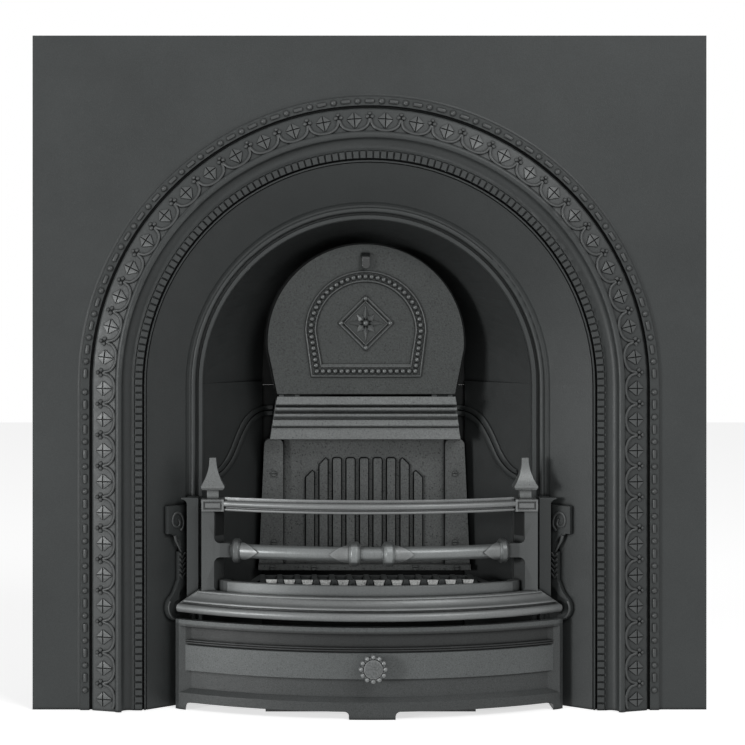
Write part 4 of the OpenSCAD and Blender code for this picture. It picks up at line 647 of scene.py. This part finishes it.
def bar_leaf(relief, x_from, direction, length, lift=2.4):
    """A pointed sleeve that wraps the front of the bar, from a collar along the bar."""
    angles = np.linspace(-80, 80, 17)
    outer, inner = [], []
    steps = 6
    for deg in angles:
        reach = length * (1 - abs(deg) / 88.0) ** 0.9
        row_o, row_i = [], []
        for k in range(steps + 1):
            x = x_from + direction * reach * k / steps
            a = math.asin(x / BAR_PATH_R)
            radial = np.array([math.sin(a), -math.cos(a), 0.0])
            c = np.array([0.0, BAR_CENTRE_Y, BAR_Z]) + radial * BAR_PATH_R
            d = radial * math.cos(math.radians(deg)) + np.array([0, 0, 1.0]) * math.sin(math.radians(deg))
            row_o.append(c + d * (BAR_R + lift))
            row_i.append(c + d * (BAR_R - 0.8))
        outer.append(row_o)
        inner.append(row_i)
    rings = [np.array(o + i[::-1]) for o, i in zip(outer, inner)]
    relief.rings(rings)


def bar_leaves():
    relief = Relief()
    for side in (-1, 1):
        bar_leaf(relief, side * 182.0, -side, 26.0)
        bar_leaf(relief, side * 31.5, side, 27.0)
    relief.piece("bar_leaves", "frame", BURNISHED, "burnished_iron")


bar_leaves()


# ---------------------------------------------------------------- scrolls beside the basket

PANEL_ANGLE = math.atan2(48.0, 56.0)
PANEL_EDGE = (263.0, 46.0)    # X and Y of the splayed panel's inner edge
SCROLL_FACE = 8.1             # how far the scroll's face stands in front of the panel


def scroll_ornament():
    relief = Relief()
    spiral = [(18.3, 252.8), (13.8, 258.7), (13.0, 265.9), (15.7, 274.3), (22.3, 279.1),
              (28.9, 277.9), (32.6, 271.9), (32.6, 265.1), (28.9, 260.1), (23.6, 258.9),
              (19.9, 262.2), (20.4, 267.4), (23.1, 270.1)]
    leaf = [(28.6, 247), (26.0, 239), (21.5, 231), (16.5, 222)]
    for side in (-1, 1):
        u = np.array([side * math.cos(PANEL_ANGLE), -math.sin(PANEL_ANGLE), 0.0])
        n = np.array([-side * math.sin(PANEL_ANGLE), -math.cos(PANEL_ANGLE), 0.0])
        up = np.array([0.0, 0.0, 1.0])
        base = np.array([side * PANEL_EDGE[0], PANEL_EDGE[1], 0.0]) + n * SCROLL_FACE

        def at(a, z):
            return base + u * a + up * z

        turn = smooth_line([at(a, z) for a, z in spiral], 4)
        fade = [1 - 0.3 * k / (len(turn) - 1) for k in range(len(turn))]
        relief.rib(turn, n, 4.6, 2.2, power=0.6, taper=fade)
        curl = smooth_line([at(a, z) for a, z in leaf], 5)
        relief.rib(curl, n, 5.0, 1.8, taper=[1 - 0.5 * k / (len(curl) - 1) for k in range(len(curl))])
        # Overlapping leaves down the stem, and a rib round the curl under the shelf
        for k in range(5):
            z = 216 - 7.4 * k
            relief.rib(np.array([at(9.5, z + 4.5), at(15.5, z - 1.5), at(20.0, z + 4.5)]), n, 4.2, 1.8)
        sweep = [at(23 + 17 * math.cos(t), 143 + 17 * math.sin(t)) for t in np.linspace(-1.35, 0.6, 16)]
        relief.rib(np.array(sweep), n, 3.4, 1.6)
    relief.piece("scroll_relief", "frame", LIT_RAISED, "black_iron")


scroll_ornament()


def facet_shade_panels():
    """Dark panels of painted shade on the receding facets of the posts, which face away from the key
    light, between the branch and the rail.
    """
    relief = Relief()
    facet_w, facet_depth = 14.0, 16.0
    facet_x, facet_y = 215.5, 4.0
    panel = [(-8.0, 249.0), (10.2, 249.0), (10.2, 283.5), (-8.0, 283.5)]
    for side in (-1, 1):
        along = unit((side * -facet_w, facet_depth, 0.0))
        n = unit((side * -facet_depth, -facet_w, 0.0))
        middle = np.array([side * facet_x, facet_y, 0.0])
        relief.slab(panel, middle, along, np.array([0.0, 0.0, 1.0]), n, 0.4, bevel=0.2)
    relief.piece("facet_shade_panels", "frame", DARKEST, "chamber_iron")


facet_shade_panels()


GRATE_PITCH = 25.5
CREST_FOOT_Z = 173.5
CREST_Y = -17.0
CREST_CURVE = 0.22    # how fast the crest falls back to both sides, clear of the lifted bar


def on_crest(pitches):
    """Place on the crest's foot, some bar pitches from the middle."""
    return np.array([GRATE_PITCH * pitches, CREST_Y + CREST_CURVE * pitches ** 2, CREST_FOOT_Z])


def grate_ends():
    """The low crest along the grate's front: dark bar ends with pale webs between them, painted near
    white as a painted highlight where light catches them.
    """
    webs, ends = Relief(), Relief()
    up = np.array([0.0, 0.0, 1.0])
    web = [(-4.2, 0.0), (4.2, 0.0), (8.2, 14.0), (-8.2, 14.0)]
    end = [(-6.0, 0.0), (6.0, 0.0), (3.2, 15.0), (-3.2, 15.0)]
    for k in range(12):
        webs.slab(web, on_crest(k - 5.5), RIGHT, up, FRONT, 1.5, bevel=0.4, sink=3.0)
    for k in range(11):
        ends.slab(end, on_crest(k - 5), RIGHT, up, FRONT, 2.6, bevel=0.4, sink=3.6)
    webs.piece("grate_webs", "grate", LIT_WEBS, "burnished_iron")
    ends.piece("grate_bar_ends", "grate", GRATE, "chamber_iron")


grate_ends()


def knob_lobes():
    """Twelve lobes on the knob's rim, and the low disc inside them."""
    lobes, disc = Relief(), Relief()
    middle = np.array(KNOB)
    lobe_ring_r, lobe_rise = 16.6, 2.4
    disc_r, disc_y, disc_rise = 12.8, 1.8, 0.9
    for k in range(12):
        a = math.pi / 6 * k
        out = np.array([math.cos(a), 0.0, math.sin(a)])
        side = np.array([-math.sin(a), 0.0, math.cos(a)])
        lobes.dome(middle + out * lobe_ring_r, out, side, FRONT, 3.3, 3.4, lobe_rise, sink=2.0)
    disc.dome(middle + FRONT * disc_y, RIGHT, np.array([0.0, 0.0, 1.0]), FRONT, disc_r, disc_r,
              disc_rise, sides=40, sink=1.5)
    lobes.piece("knob_lobes", "cover", BURNISHED, "burnished_iron")
    disc.piece("knob_disc", "cover", BRIGHT, "burnished_iron")


knob_lobes()


# ---------------------------------------------------------------- floor, lights and camera

def seen_by_eye(nt):
    """1 for rays from the camera and for mirrored and refracted ones, 0 for the others."""
    path = nt.nodes.new("ShaderNodeLightPath")
    total = path.outputs["Is Camera Ray"]
    for kind in ("Is Glossy Ray", "Is Transmission Ray"):
        node = nt.nodes.new("ShaderNodeMath")
        node.operation = "MAXIMUM"
        nt.links.new(total, node.inputs[0])
        nt.links.new(path.outputs[kind], node.inputs[1])
        total = node.outputs["Value"]
    return total


def floor_material():
    """White where it is seen, keeping the shadow; pale for the light it throws back."""
    mat = bpy.data.materials.new("pale_floor")
    mat.use_nodes = True
    nt = mat.node_tree
    nt.nodes.remove(nt.nodes["Principled BSDF"])
    white = nt.nodes.new("ShaderNodeBsdfDiffuse")
    white.inputs["Color"].default_value = (1.0, 1.0, 1.0, 1)
    glow = nt.nodes.new("ShaderNodeEmission")
    glow.inputs["Strength"].default_value = FLOOR_GLOW
    both = nt.nodes.new("ShaderNodeAddShader")
    grey = nt.nodes.new("ShaderNodeBsdfDiffuse")
    grey.inputs["Color"].default_value = (0.8, 0.8, 0.8, 1)
    mix = nt.nodes.new("ShaderNodeMixShader")
    nt.links.new(white.outputs[0], both.inputs[0])
    nt.links.new(glow.outputs[0], both.inputs[1])
    nt.links.new(seen_by_eye(nt), mix.inputs["Fac"])
    nt.links.new(grey.outputs[0], mix.inputs[1])
    nt.links.new(both.outputs[0], mix.inputs[2])
    nt.links.new(mix.outputs[0], nt.nodes["Material Output"].inputs["Surface"])
    return mat


FLOOR_SIZE = 14.0
FLOOR_GAP = 0.0004     # keeps the floor clear of the feet that stand on it
FLOOR_GLOW = 0.66
WORLD_LIGHT = 0.22
KEY = 194.0
SOFT = 60.0

bpy.ops.mesh.primitive_plane_add(size=FLOOR_SIZE, location=(0.0, 0.0, -FLOOR_GAP))
floor = bpy.context.object
floor.name = "floor"
floor.data.materials.append(floor_material())

world = bpy.data.worlds.new("studio")
bpy.context.scene.world = world
world.use_nodes = True
nt = world.node_tree
background = nt.nodes["Background"]
background.inputs["Color"].default_value = (1, 1, 1, 1)
strength = nt.nodes.new("ShaderNodeMapRange")
strength.inputs["To Min"].default_value = WORLD_LIGHT
strength.inputs["To Max"].default_value = 1.0
nt.links.new(seen_by_eye(nt), strength.inputs["Value"])
nt.links.new(strength.outputs["Result"], background.inputs["Strength"])


def area(name, place, target, size, power):
    light = bpy.data.lights.new(name, "AREA")
    light.shape = "RECTANGLE"
    light.size, light.size_y = size
    light.energy = power
    obj = bpy.data.objects.new(name, light)
    bpy.context.collection.objects.link(obj)
    obj.location = place
    direction = np.array(target, float) - np.array(place, float)
    obj.rotation_euler = Vector(direction).to_track_quat("-Z", "Y").to_euler()
    return obj


area("key", (-4.9, -4.4, 0.8), (0, 0, 0.45), (1.3, 1.3), KEY)
area("soft", (1.9, -3.2, 2.9), (0.2, 0, 0.6), (1.8, 1.4), SOFT)

# The photograph's frame: 745 px square, 1.4318 mm per px in the plate's face, lens axis
# square to the plate and 586.3 mm above the hearth
PX = 745.0
MM_PER_PX = 1.4318
DISTANCE = 3000.0
AXIS_X, AXIS_Z, AXIS_PY = -165.0, 586.3, 300.0
CENTRE_PX = 369.5
cam = bpy.data.cameras.new("camera")
cam.sensor_fit = "HORIZONTAL"
cam.sensor_width = 36.0
cam.lens = 36.0 * DISTANCE / (PX * MM_PER_PX)
cam.shift_x = 0.5 - (CENTRE_PX + AXIS_X / MM_PER_PX) / PX
cam.shift_y = AXIS_PY / PX - 0.5
camera = bpy.data.objects.new("camera", cam)
bpy.context.collection.objects.link(camera)
camera.location = (AXIS_X / 1000, (FACE_Y - DISTANCE) / 1000, AXIS_Z / 1000)
camera.rotation_euler = (math.pi / 2, 0, 0)
bpy.context.scene.camera = camera
bpy.context.scene.view_settings.view_transform = "Standard"
